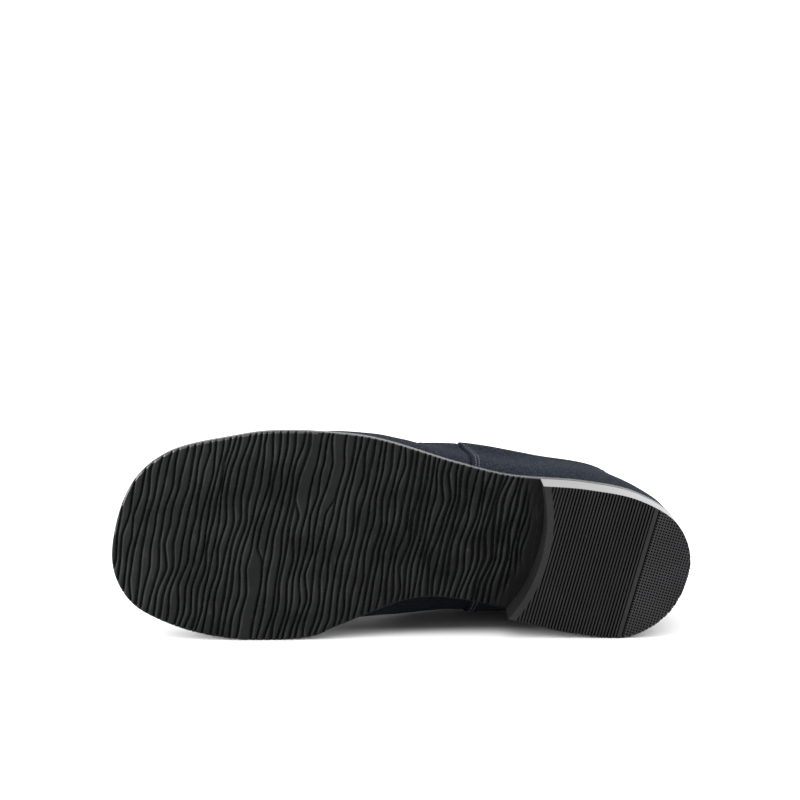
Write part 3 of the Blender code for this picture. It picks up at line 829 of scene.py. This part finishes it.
def makeHeel():
    bm = bmesh.new()
    radius = breast.radius
    wide = radius + heel["strip"]
    outerIn, outerOut = (crossing(0.0, behind) for behind in (0.0, heel["strip"]))
    innerIn, innerOut = (crossing(soleEdge.length, behind) for behind in (0.0, heel["strip"]))

    def edgePoints(start, end):
        count = max(1, round(abs(end - start) / heel["edgeStep"]))
        return [soleEdge.at(start + (end - start) * i / count) for i in range(count + 1)]

    def arcPoints(first, last, r):
        a, b = (math.atan2(p.y - breast.centre.y, p.x - breast.centre.x) for p in (first, last))
        found = []
        for i in range(1, heel["arcPoints"]):
            angle = a + (b - a) * i / heel["arcPoints"]
            found.append(breast.centre + Vector((math.cos(angle), math.sin(angle), 0.0)) * r)
        return found

    outerSide = edgePoints(outerIn, outerOut)
    roundTheBack = edgePoints(outerOut, innerOut)
    innerSide = edgePoints(innerOut, innerIn)
    front = arcPoints(innerSide[-1], outerSide[0], radius)
    boundary = arcPoints(outerSide[-1], innerSide[0], wide)
    verts = {}

    def vert(p):
        key = (round(p.x, 7), round(p.y, 7))
        if key not in verts:
            verts[key] = bm.verts.new((p.x, p.y, heel["depth"]))
        return verts[key]

    strip = bm.faces.new([vert(p) for p in outerSide + boundary + innerSide + front])
    strip.material_index = 2
    bm.faces.new([vert(p) for p in roundTheBack + boundary[::-1]])

    # ribs, the plain band and rows of dots, as cuts across the tread
    lean = heel["lean"]
    across = Vector((1.0, lean, 0.0))
    size = across.length
    across.normalize()
    places = []
    s = heel["bandStart"] - heel["bandGroove"]
    while s > heel["ribsFrom"]:
        places += [s, s - heel["ribPitch"] * heel["ribShare"]]
        s -= heel["ribPitch"]
    places += [heel["bandStart"], heel["bandEnd"]]
    dotsFrom = heel["bandEnd"] + heel["bandGroove"]
    s = dotsFrom
    while s < heel["dotsTo"]:
        places += [s, s + heel["dotPitch"] * heel["pitShare"]]
        s += heel["dotPitch"]
    for s in places:
        cutFaces(bm, [f for f in bm.faces if f.material_index == 0], s / size, across)

    def inDots(p):
        return p.x + lean * p.y > dotsFrom

    along = Vector((-lean, 1.0, 0.0)).normalized()
    first = math.floor(heel["dotRowsFrom"] / heel["dotPitch"])
    for k in range(first, first + heel["dotRows"]):
        for share in (0.0, heel["pitShare"]):
            dotted = [f for f in bm.faces if inDots(f.calc_center_median())]
            cutFaces(bm, dotted, (k + share) * heel["dotPitch"] / size, along)

    # the block over the tread, closed at the top
    rim = [e for e in bm.edges if e.is_boundary]
    raised = bmesh.ops.extrude_edge_only(bm, edges=rim)["geom"]
    for part in raised:
        if isinstance(part, bmesh.types.BMVert):
            part.co.z = shoe["heelHeight"] - shoe["gap"]
    bmesh.ops.edgeloop_fill(bm, edges=[p for p in raised if isinstance(p, bmesh.types.BMEdge)])

    # what stands proud is drawn down to the ground
    def atLevel(z, level):
        return abs(z - level) < 1e-6

    flat = [f for f in bm.faces if all(atLevel(v.co.z, heel["depth"]) for v in f.verts)]
    tops = [f for f in flat if f.material_index == 2 or heelTop(*f.calc_center_bounds().xy)]
    for part in bmesh.ops.extrude_face_region(bm, geom=tops)["geom"]:
        if isinstance(part, bmesh.types.BMVert):
            part.co.z = 0.0
    bmesh.ops.recalc_face_normals(bm, faces=bm.faces)
    for face in bm.faces:
        c = face.calc_center_median()
        side = abs(face.normal.z) < 0.5 and c.z > heel["depth"] and breast.behind(c.x, c.y) > 0.0002
        dotted = atLevel(c.z, 0.0) and inDots(c)
        # the groove floors at the tread's depth get the near-black rubber as painted shade
        face.material_index = 3 if atLevel(c.z, heel["depth"]) else 1 if side else 2 if dotted else 0
    materials = (blockRubber, sideGloss, dottedRubber, paintedShadeRubber)
    return makePiece(bm, "heelRubber", materials, ("heel",), 30)


makeHeel()

# The insole

insole = {
    "wall": ((0.0008, 0.0), (0.0, 0.0006), (0.0, 0.0028), (0.0006, 0.0035)),
    "inset": 0.0014 + 0.0022 + 4 * 0.0003,
    "columnStep": 0.002,
    "tipStep": 0.00008,
    "fineTo": 0.235,
    "lowerRows": 10,
    "topRows": 40,
}


def insoleTop(x):
    return soleTop(x) + shoe["gap"] + shoe["insoleThickness"]


def makeInsole():
    outer, _ = shearedSides(0.0)
    places = columnPlaces(
        float(outer[0][0]), float(outer[0][-1]), insole["columnStep"], insole["columnStep"],
        insole["fineTo"], insole["tipStep"], insole["tipStep"],
    )
    bm, _ = slabMesh(
        0.0, places, insole["inset"], insole["wall"], insole["lowerRows"], insole["topRows"],
        lambda x, y: soleTop(x) + shoe["gap"], lambda x, y: insoleTop(x),
    )
    closeUp(bm)
    return makePiece(bm, "insoleSock", (lining,), ("insole",), 50)


makeInsole()

# The upper

upper = {
    "wall": 0.0022,
    "skin": 0.0013,               # the nubuck's own thickness
    "quarterStep": 0.0007,
    "featherInset": 0.0014,
    "featherGap": 0.0008,
    "seams": (("outer", 0.628), ("inner", 0.628)),
    "columns": 420,
    "rows": 30,
    "innerRows": 14,
    "creases": ((0.262, 0.0005, 0.0030), (0.302, 0.0007, 0.0034), (0.345, 0.0006, 0.0030)),
}


class UpperShape:
    def __init__(self):
        self.knots = [soleEdge.distanceOf(row[0], row[1]) for row in upperSections]
        self.rows = [row[2:] for row in upperSections]
        self.seams = [soleEdge.distanceOf(side, share) for side, share in upper["seams"]]

    def section(self, around):
        count = len(self.rows)
        i = max(k for k in range(count) if self.knots[k] <= around)
        places = [self.knots[k % count] + (k // count) * soleEdge.length for k in range(i - 1, i + 3)]
        rows = [self.rows[k % count] for k in range(i - 1, i + 3)]
        span = places[2] - places[1]
        t = (around - places[1]) / span
        values = []
        for before, start, end, after in zip(*rows):
            leave = (end - before) / (places[2] - places[0]) * span
            arrive = (after - start) / (places[3] - places[1]) * span
            values.append(cubic(start, leave, end, arrive, t))
        return values

    @lru_cache(maxsize=60000)
    def handles(self, around):
        around %= soleEdge.length
        topX, topY, topZ, swell, rise, reach, drop = self.section(around)
        inward = soleEdge.inward(around)
        foot = soleEdge.at(around) + inward * upper["featherInset"]
        foot.z = soleTop(foot.x) + upper["featherGap"]
        top = Vector((topX * length, topY * ballWidth, 0.0))
        top.z = soleTop(top.x) + topZ * shoe["instepHeight"]
        height = top.z - foot.z
        low = foot - inward * swell * ballWidth
        low.z = foot.z + rise * height
        high = top.lerp(foot, reach)
        high.z = top.z - drop * height
        return foot, low, high, top

    def base(self, around, up):
        foot, low, high, top = self.handles(around)
        left = 1.0 - up
        return foot * left**3 + low * 3 * left**2 * up + high * 3 * left * up**2 + top * up**3

    def ways(self, around, up):
        # Outward and upward directions of the surface
        small = 0.001
        low = max(up - small, 0.0)
        high = min(up + small, 1.0)
        across = self.base(around + small, up) - self.base(around - small, up)
        rising = (self.base(around, high) - self.base(around, low)).normalized()
        return across.cross(rising).normalized(), rising

    def raised(self, around):
        # The quarter lies over the vamp behind the side seams
        first, last = self.seams
        inside = min(around - first, last - around)
        edge = math.exp(-(((inside + 0.0006) / 0.0004) ** 2))
        return upper["quarterStep"] * smoothStep((inside + 0.0003) / 0.0006) - 0.0005 * edge

    def seamShade(self, around):
        # Painted shade along the quarter's front edge, where it steps down onto the vamp
        first, last = self.seams
        inside = min(around - first, last - around)
        return math.exp(-(((inside + 0.0006) / 0.0005) ** 2))

    def archShade(self, around, up):
        # Painted shade: the nubuck is darkened low on the inner side, under the arch, where the shoe's own
        # shadow falls
        p = self.base(around, up)
        share = p.x / length
        along = smoothStep((share - 0.33) / 0.06) * smoothStep((0.72 - share) / 0.05)
        return 0.75 * along * smoothStep((0.55 - up) / 0.2) if p.y > 0 else 0.0

    def point(self, around, up, depth=0.0, beyond=0.0):
        around %= soleEdge.length
        outward, rising = self.ways(around, up)
        return self.base(around, up) + outward * (self.raised(around) - depth) + rising * beyond

    def aroundAt(self, side, x, up):
        start = 0.0 if side == "outer" else soleEdge.length
        return findPlace(start, soleEdge.heel, lambda around: self.base(around, up).x < x, 30)


upperShape = UpperShape()


def aroundPlaces():
    step = soleEdge.length / upper["columns"]
    places = [i * step for i in range(upper["columns"])]
    places = [a for a in places if min(abs(a - seam) for seam in upperShape.seams) > 0.0014]
    for seam in upperShape.seams:
        places += [seam + k * 0.00015 for k in range(-8, 9)]
    places.sort()
    return places + [soleEdge.length]


def soften(around, up):
    # Small unevenness of the leather, and soft creases where the foot bends
    p = upperShape.base(around % soleEdge.length, up)
    rough = 0.00028 * noise.noise(p * 38.0) + 0.00012 * noise.noise(p * 110.0)
    crease = 0.0
    for place, depth, width in upper["creases"]:
        bend = p.x - place * length - 0.10 * abs(p.y) + 0.002 * noise.noise(p * 60.0)
        fade = smoothStep(up / 0.3) * smoothStep((1.0 - up) / 0.15)
        crease -= depth * math.exp(-((bend / width) ** 2)) * fade
    return (rough + crease) * smoothStep(up / 0.08) * smoothStep((1.0 - up) / 0.05)


def makeUpper():
    places = aroundPlaces()
    radius = upper["wall"] / 2
    rings = []      # height share, depth, how far beyond along the rise
    for i in range(upper["rows"] + 1):
        rings.append((i / upper["rows"] * 0.965, 0.0, 0.0))
    for degrees in range(0, 181, 20):
        angle = math.radians(degrees)
        rings.append((1.0, radius - radius * math.cos(angle), radius * (math.sin(angle) - 1.0)))
    for up in (0.965, 0.93, 0.90, 0.88):
        rings.append((up, upper["wall"], 0.0))
    for up in (0.875, 0.87):
        rings.append((up, upper["skin"], 0.0))
    for i in range(upper["innerRows"] + 1):
        rings.append((0.86 * (1 - i / upper["innerRows"]), upper["skin"], 0.0))
    rings.append(rings[0])

    paintedShades = []

    def place(i, j):
        around = places[i] if i < len(places) - 1 else places[0]
        up, depth, beyond = rings[j]
        push = soften(around, up) if depth < 0.0001 else 0.0
        # painted shade along the seam edge and under the arch, kept per vertex
        shade = max(upperShape.seamShade(around), upperShape.archShade(around, up))
        paintedShades.append(shade if depth < 0.0001 else 0.0)
        return upperShape.point(around, up, depth - push, beyond)

    bm = gridMesh(len(places) - 1, len(rings) - 1, place)
    layer = bm.verts.layers.float.new("seam")
    for vert, shade in zip(bm.verts, paintedShades):
        vert[layer] = shade
    closeUp(bm)
    return makePiece(bm, "upperNubuck", (nubuck,), ("upper",), 60)


liningSkin = {
    "footHeight": 0.0011,      # the seen wall ends so far over the insole's place
    "top": 0.858,              # height share where it slips behind the folded nubuck
    "bottom": 0.02,
    "clear": 0.0001,
    "turnedIn": 0.0012,
}


def liningFoot(around):
    # The height share at which the wall passes the insole's top
    def isLow(up):
        p = upperShape.base(around, up)
        return p.z < soleTop(p.x) + shoe["insoleThickness"] + liningSkin["footHeight"]

    return findPlace(0.0, 0.4, isLow, 20)


def makeLining():
    # A thin skin inside the wall, turned in over the insole's edge at its foot
    places = aroundPlaces()
    feet = [liningFoot(around % soleEdge.length) for around in places]
    rings = []      # kind, height share or height, depth
    top, bottom, clear = liningSkin["top"], liningSkin["bottom"], liningSkin["clear"]
    for i in range(upper["innerRows"] + 1):
        rings.append(("behind", bottom + (top - bottom) * i / upper["innerRows"], upper["skin"] + clear))
    rings.append(("behind", 0.866, upper["skin"] + 0.00045))
    for i in range(upper["innerRows"] + 1):
        rings.append(("seen", 1.0 - i / upper["innerRows"], upper["wall"]))
    for height in (5 * clear, clear):
        rings.append(("turned", height, liningSkin["turnedIn"]))
    rings.append(("seen", -0.012, upper["wall"]))
    rings.append(("behind", bottom, upper["wall"]))
    rings.append(rings[0])

    def place(i, j):
        i %= len(places) - 1
        kind, up, depth = rings[j]
        if kind == "turned":
            p = soleEdge.at(places[i]) + soleEdge.inward(places[i]) * (insole["inset"] + depth)
            p.z = insoleTop(p.x) + up
            return p
        if kind == "seen":
            up = feet[i] + (top - feet[i]) * up
        return upperShape.point(places[i], up, depth)

    bm = gridMesh(len(places) - 1, len(rings) - 1, place)
    closeUp(bm)
    return makePiece(bm, "upperLining", (lining,), (), 60)


makeUpper()
makeLining()

# Stitches

stitch = {
    "length": 0.0024,
    "gap": 0.0007,
    "width": 0.00055,
    "height": 0.00035,
    "proud": 0.00008,
    "seamSize": 0.6,
    "seamRows": (0.0014, 0.0029),
    "belowTopline": 0.0030,
    "fromStrapEdge": 0.0022,
    "fromStrapTip": 0.0085,
}


def addStitches(bm, way, total, size=1.0):
    # way(distance) gives a point on the surface and its outward direction
    half = stitch["length"] * size / 2
    count = int(total / (2 * half + stitch["gap"]))
    for i in range(count):
        middle = (i + 0.5) * total / count
        start, out = way(middle - half)
        end, _ = way(middle + half)
        direction = (end - start).normalized()
        side = out.cross(direction).normalized()
        out = direction.cross(side)
        basis = Matrix((direction, side, out)).transposed().to_4x4()
        shape = Matrix.Diagonal((half, stitch["width"] / 2, stitch["height"] / 2, 1.0))
        spot = Matrix.Translation((start + end) / 2 + out * stitch["proud"])
        bmesh.ops.create_icosphere(bm, subdivisions=2, radius=1.0, matrix=spot @ basis @ shape)


def surfaceWay(points):
    line = Line([p for p, _ in points])
    outs = [o for _, o in points]

    def way(distance):
        i = min(max(bisect_right(line.along, distance) - 1, 0), len(outs) - 1)
        return line.at(distance), outs[i]

    return way, line.length


def sewnOnUpper(around, up):
    return upperShape.point(around, up), upperShape.ways(around, up)[0]


def finishStitches(bm, name, thread):
    bmesh.ops.recalc_face_normals(bm, faces=bm.faces)
    makePiece(bm, name, (thread,), (), 80)


def makeUpperStitches():
    # along the topline
    bm = bmesh.new()
    points = []
    count = 900
    for i in range(count + 1):
        around = soleEdge.length * i / count
        _, _, high, top = upperShape.handles(around)
        up = 1.0 - stitch["belowTopline"] / max((top - high).length * 3, 0.02)
        points.append(sewnOnUpper(around, up))
    addStitches(bm, *surfaceWay(points))
    finishStitches(bm, "toplineStitches", navyThread)
    # two rows down each side seam, on the quarter
    bm = bmesh.new()
    for seam, sign in zip(upperShape.seams, (1, -1)):
        for offset in stitch["seamRows"]:
            points = [sewnOnUpper(seam + sign * offset, 0.03 + 0.90 * i / 120) for i in range(121)]
            addStitches(bm, *surfaceWay(points), stitch["seamSize"])
    finishStitches(bm, "seamStitches", paleThread)


makeUpperStitches()
print("upper made")

# The strap and the buckle

strap = {
    "width": 0.0165,
    "thickness": 0.0020,
    "tabThickness": 0.0014,
    "tabWidth": 0.0130,
    "wire": 0.0022,
    "buckleLength": 0.0135,
    "sideRoom": 0.0018,
    "corner": 0.0030,
    "prong": 0.0016,
    "root": 0.016,
    "rootGap": 0.0010,
    "bar": 0.0150,
    "tip": 0.0070,
    "tipSink": 0.8,
    "tipLength": 0.0075,
    "foldBack": 0.20,
    "foldHeight": 0.70,
    "archStart": 35,
    "archParts": 6,
    "place": 0.540,
    "rootUps": (0.45, 0.60, 0.75, 0.88, 1.0),
    "holes": (0.0108, 0.0355, 0.0425),
    "holeRadius": 0.0011,
}


class InstepLine:
    # The line over the instep that the strap follows, for each place along the shoe, as in the part
    def __init__(self):
        self.middle = strap["place"] * length
        self.shared = None
        self.shared = self.make(self.middle)
        self.made = {}

    def make(self, x):
        outerDepth = upper["wall"] + strap["rootGap"] + strap["tabThickness"] / 2
        innerDepth = upper["wall"] + strap["rootGap"] + strap["thickness"] / 2
        outer = [self.wall("outer", x, up, outerDepth) for up in strap["rootUps"]]
        inner = [self.wall("inner", x, up, innerDepth) for up in reversed(strap["rootUps"])]
        arch = self.shared["arch"] if self.shared else self.archPoints(x, outer[-1], inner[0])
        points = [Vector((x, p.y, p.z)) for p in outer + arch + inner]
        line = Line(smoothLine(points, 6))
        roots = len(strap["rootUps"])
        start = line.along[6 * roots]
        lead = self.shared["lead"] if self.shared else start - line.along[6 * (roots - 1)]
        start -= lead
        end = line.along[-1 - 6 * (roots - 1)] - start
        return {"line": line, "arch": arch, "lead": lead, "start": start, "end": end}

    def wall(self, side, x, up, depth):
        around = upperShape.aroundAt(side, x, up)
        outward, _ = upperShape.ways(around, up)
        first, last = upperShape.seams
        step = upper["quarterStep"] if first < around % soleEdge.length < last else 0.0
        return upperShape.base(around, up) + outward * (step - depth)

    def archPoints(self, x, outer, inner):
        crest = Vector((x, (outer.y + inner.y) / 2, soleTop(x) + shoe["instepHeight"]))
        start = math.radians(strap["archStart"])
        parts = strap["archParts"]
        points = []
        for k in range(1, parts):
            angle = start + (math.pi - 2 * start) * k / parts
            side = outer if 2 * k < parts else inner
            y = crest.y + (side.y - crest.y) * abs(math.cos(angle)) / math.cos(start)
            share = (math.sin(angle) - math.sin(start)) / (1.0 - math.sin(start))
            points.append(Vector((x, y, side.z + (crest.z - side.z) * share)))
        return points

    def on(self, x, distance, height):
        key = round(x, 6)
        if key not in self.made:
            self.made[key] = self.make(x)
        made = self.made[key]
        small = 0.0005
        place = distance + made["start"]
        direction = (made["line"].at(place + small) - made["line"].at(place - small)).normalized()
        return made["line"].at(place) + Vector((0.0, -direction.z, direction.y)) * height

    def at(self, x, distance, height):
        # Between two of a few lines, so that any x can be asked for
        step = 0.0015
        low = math.floor((x - self.middle) / step)
        share = (x - self.middle) / step - low
        first = self.on(self.middle + low * step, distance, height)
        second = self.on(self.middle + (low + 1) * step, distance, height)
        found = first.lerp(second, share)
        found.x = x
        return found


instep = InstepLine()
strapEnd = instep.shared["end"]
wireRadius = strap["wire"] / 2
prongRadius = strap["prong"] / 2
gap = shoe["gap"]
barHeight = strap["tabThickness"] / 2 + gap + wireRadius
farPlace = strap["bar"] + strap["buckleLength"]


def outOf(path, i):
    # The way along a path of distance and height, and the way out of it
    before = Vector(path[max(i - 1, 0)])
    after = Vector(path[min(i + 1, len(path) - 1)])
    way = (after - before).normalized()
    return way, Vector((-way.y, way.x))


def pathLine(path):
    return Line([Vector((s, h, 0.0)) for s, h in path])


def roundTip(inside):
    # The width share so far inside a rounded end, in radii
    return math.sqrt(max(1.0 - (1.0 - min(inside, 1.0)) ** 2, 0.0))


def flatBand(path, width, thickness, tipLength):
    # A flat band along a path, with rounded edges and a rounded start
    halfRing = 12
    ring = []
    for k in range(2 * halfRing):
        turn = math.tau * (k + 0.5) / (2 * halfRing)
        across = math.copysign(min(1.0, abs(math.cos(turn)) * 1.25), math.cos(turn))
        level = math.copysign(min(1.0, abs(math.sin(turn)) * 2.2), math.sin(turn))
        ring.append((across, level))
    lead = pathLine(path)

    def place(i, j):
        across, level = ring[j % len(ring)]
        s, h = path[i]
        _, out = outOf(path, i)
        out *= level * thickness / 2
        tip = 1.0
        if tipLength:
            tip = roundTip(lead.along[i] / tipLength)
            out *= min(1.0, tip * 3.0)
        x = instep.middle + across * width / 2 * tip
        return instep.at(x, s + out.x, h + out.y)

    return gridMesh(len(path) - 1, len(ring), place), lead


def closeEnds(bm):
    bmesh.ops.remove_doubles(bm, verts=bm.verts, dist=0.000001)
    rim = [e for e in bm.edges if e.is_boundary]
    if rim:
        bmesh.ops.holes_fill(bm, edges=rim)
    bmesh.ops.recalc_face_normals(bm, faces=bm.faces)


def densePath(points, steps):
    return [(p.x, p.y) for p in smoothLine([(s, h, 0.0) for s, h in points], steps)]


def strapPath():
    bar = strap["bar"]
    over = barHeight + wireRadius + gap + strap["tabThickness"] + gap + strap["thickness"] / 2
    under = barHeight - wireRadius - gap - strap["thickness"] / 2
    return (
        (strap["tip"], over - strap["tipSink"] * strap["thickness"]),
        (bar - wireRadius, over),
        (bar + wireRadius, over),
        (bar + 0.45 * strap["buckleLength"], (over + under) / 2),
        (farPlace - 1.3 * wireRadius, under),
        (farPlace + 1.3 * wireRadius, under),
        (farPlace + 0.5 * strap["buckleLength"], 0.0),
        (strapEnd * 0.60, 0.0),
        (strapEnd * 0.80, 0.0),
        (strapEnd, 0.0),
        (strapEnd + strap["root"], 0.0),
    )


def makeStrap():
    path = densePath(strapPath(), 12)
    bm, lead = flatBand(path, strap["width"], strap["thickness"], strap["tipLength"])
    closeEnds(bm)
    makePiece(bm, "strapNubuck", (nubuck,), ("strap",), 60)
    # stitches along both edges
    bm = bmesh.new()
    for side in (-1, 1):
        points = []
        x = instep.middle + side * (strap["width"] / 2 - stitch["fromStrapEdge"])
        for i, (s, h) in enumerate(path):
            if lead.along[i] < stitch["fromStrapTip"] or s > strapEnd + 0.002:
                continue
            _, out = outOf(path, i)
            out *= strap["thickness"] / 2
            low = instep.at(x, s, h)
            p = instep.at(x, s + out.x, h + out.y)
            points.append((p, (p - low).normalized()))
        addStitches(bm, *surfaceWay(points))
    finishStitches(bm, "strapStitches", navyThread)


def makeHoles():
    # punched holes, drawn as near-black discs at the strap's face as painted shade: one near the strap's
    # free end, two more beyond the buckle
    bm = bmesh.new()
    path = densePath(strapPath(), 12)
    sides = 24
    for place in strap["holes"]:
        k = min(range(1, len(path) - 1), key=lambda i: abs(path[i][0] - place))
        s, h = path[k]
        way, out = outOf(path, k)
        corners = []
        for lift in (0.42, 0.53):
            for i in range(sides):
                angle = math.tau * i / sides
                r = strap["holeRadius"] * (1.0 if lift < 0.5 else 0.92)
                along = s + r * math.sin(angle) * way.x + out.x * strap["thickness"] * lift
                up = h + r * math.sin(angle) * way.y + out.y * strap["thickness"] * lift
                corners.append(bm.verts.new(instep.at(instep.middle + r * math.cos(angle), along, up)))
        low, high = corners[:sides], corners[sides:]
        bm.faces.new(low)
        bm.faces.new(high)
        for i in range(sides):
            j = (i + 1) % sides
            bm.faces.new((low[i], low[j], high[j], high[i]))
    bmesh.ops.recalc_face_normals(bm, faces=bm.faces)
    # near-black discs as painted shade in the holes
    makePiece(bm, "strapHolesPaintedShade", (paintedShadeRubber,), (), 60)


def makeTab():
    bar = strap["bar"]
    turn = wireRadius + gap + strap["tabThickness"] / 2
    points = [(-strap["root"], 0.0), (-strap["root"] / 2, 0.0), (0.0, 0.0), (bar - turn, 0.0)]
    for degrees in range(0, 181, 30):
        angle = math.radians(degrees)
        points.append((bar + turn * math.sin(angle), barHeight - turn * math.cos(angle)))
    points.append((bar - strap["foldBack"] * strap["buckleLength"], barHeight + strap["foldHeight"] * turn))
    bm, _ = flatBand(densePath(points, 8), strap["tabWidth"], strap["tabThickness"], 0.0)
    closeEnds(bm)
    makePiece(bm, "buckleTab", (nubuck,), ("buckle_tab",), 60)


def makeBuckle():
    bar = strap["bar"]
    halfWidth = strap["width"] / 2 + strap["sideRoom"] + wireRadius
    corner = strap["corner"]
    points = []
    for sideX, sideS, start in ((1, 1, 0), (-1, 1, 90), (-1, -1, 180), (1, -1, 270)):
        for degrees in range(0, 91, 10):
            angle = math.radians(start + degrees)
            x = sideX * (halfWidth - corner) + corner * math.cos(angle)
            s = (bar + farPlace) / 2 + sideS * (strap["buckleLength"] / 2 - corner)
            s += corner * math.sin(angle)
            points.append((x, s, math.cos(angle), math.sin(angle)))
    sides = 16

    def place(i, j):
        x, s, outX, outS = points[i % len(points)]
        turn = math.tau * j / sides
        r = wireRadius * math.cos(turn)
        return instep.at(instep.middle + x + outX * r, s + outS * r, barHeight + wireRadius * math.sin(turn))

    bm = gridMesh(len(points), sides, place)
    closeUp(bm)
    makePiece(bm, "buckleFrame", (steel,), ("buckle_frame",), 60)

    hook = wireRadius + gap + prongRadius
    path = []
    for degrees in range(-60, 181, 10):
        angle = math.radians(degrees)
        path.append((bar - hook * math.sin(angle), barHeight - hook * math.cos(angle)))
    for share in (0.35, 0.70, 1.0):
        path.append((bar + share * strap["buckleLength"], barHeight + hook))
    path.append((farPlace + 1.2 * wireRadius, barHeight + hook - 0.2 * prongRadius))
    path = densePath(path, 4)
    lead = pathLine(path)
    prongSides = 12

    def prongPlace(i, j):
        s, h = path[i]
        _, out = outOf(path, i)
        r = prongRadius * roundTip(min(lead.along[i], lead.length - lead.along[i]) / prongRadius)
        turn = math.tau * j / prongSides
        out *= r * math.sin(turn)
        return instep.at(instep.middle + r * math.cos(turn), s + out.x, h + out.y)

    bm = gridMesh(len(path) - 1, prongSides, prongPlace)
    closeUp(bm)
    makePiece(bm, "buckleProng", (steel,), ("buckle_prong",), 60)


makeStrap()
makeHoles()
makeTab()
makeBuckle()
print("strap and buckle made")

# Floor and light


studio = {
    "floorSize": 6.0,
    "skyStrength": 1.85,
    "lightPlace": (-1.4, -0.32, 0.28),
    "lightAim": (0.0, 0.0, 0.04),
    "lightSize": 1.0,
    "lightPower": 25.0,
}


def makeStudio():
    bm = bmesh.new()
    bmesh.ops.create_grid(bm, x_segments=1, y_segments=1, size=studio["floorSize"])
    mesh = bpy.data.meshes.new("floor")
    bm.to_mesh(mesh)
    bm.free()
    floor = bpy.data.objects.new("floor", mesh)
    bpy.context.scene.collection.objects.link(floor)
    # the paper is white, with a painted shadow: greyer where the shoe keeps the light off it
    paint = Paint("floorWhite")
    spot = paint.node("ShaderNodeSeparateXYZ", None, {"Vector": paint.place()})
    x, y = spot.out("X"), spot.out("Y")
    under = x.between(-0.085, -0.020) * (1.0 - x.between(0.080, 0.110))
    under = under * y.between(-0.036, -0.014) * (1.0 - y.between(0.015, 0.035))
    # painted shadow on the floor under the shoe
    colour = paint.mix(under, (0.96, 0.96, 0.96, 1.0), (0.10, 0.10, 0.10, 1.0))
    mesh.materials.append(paint.finish({"Base Color": colour, "Roughness": 0.8, "Specular IOR Level": 0.1}))
    world = bpy.data.worlds.new("studio")
    bpy.context.scene.world = world
    world.use_nodes = True
    sky = world.node_tree.nodes["Background"]
    sky.inputs["Color"].default_value = (1.0, 1.0, 1.0, 1.0)
    sky.inputs["Strength"].default_value = studio["skyStrength"]
    bpy.context.scene.view_settings.view_transform = "Standard"
    data = bpy.data.lights.new("leftLight", "AREA")
    data.shape = "SQUARE"
    data.size = studio["lightSize"]
    data.energy = studio["lightPower"]
    light = bpy.data.objects.new("leftLight", data)
    bpy.context.scene.collection.objects.link(light)
    light.location = studio["lightPlace"]
    light.rotation_mode = "QUATERNION"
    aim = Vector(studio["lightAim"]) - Vector(studio["lightPlace"])
    light.rotation_quaternion = aim.to_track_quat("-Z", "Y")


makeStudio()
print("studio made")
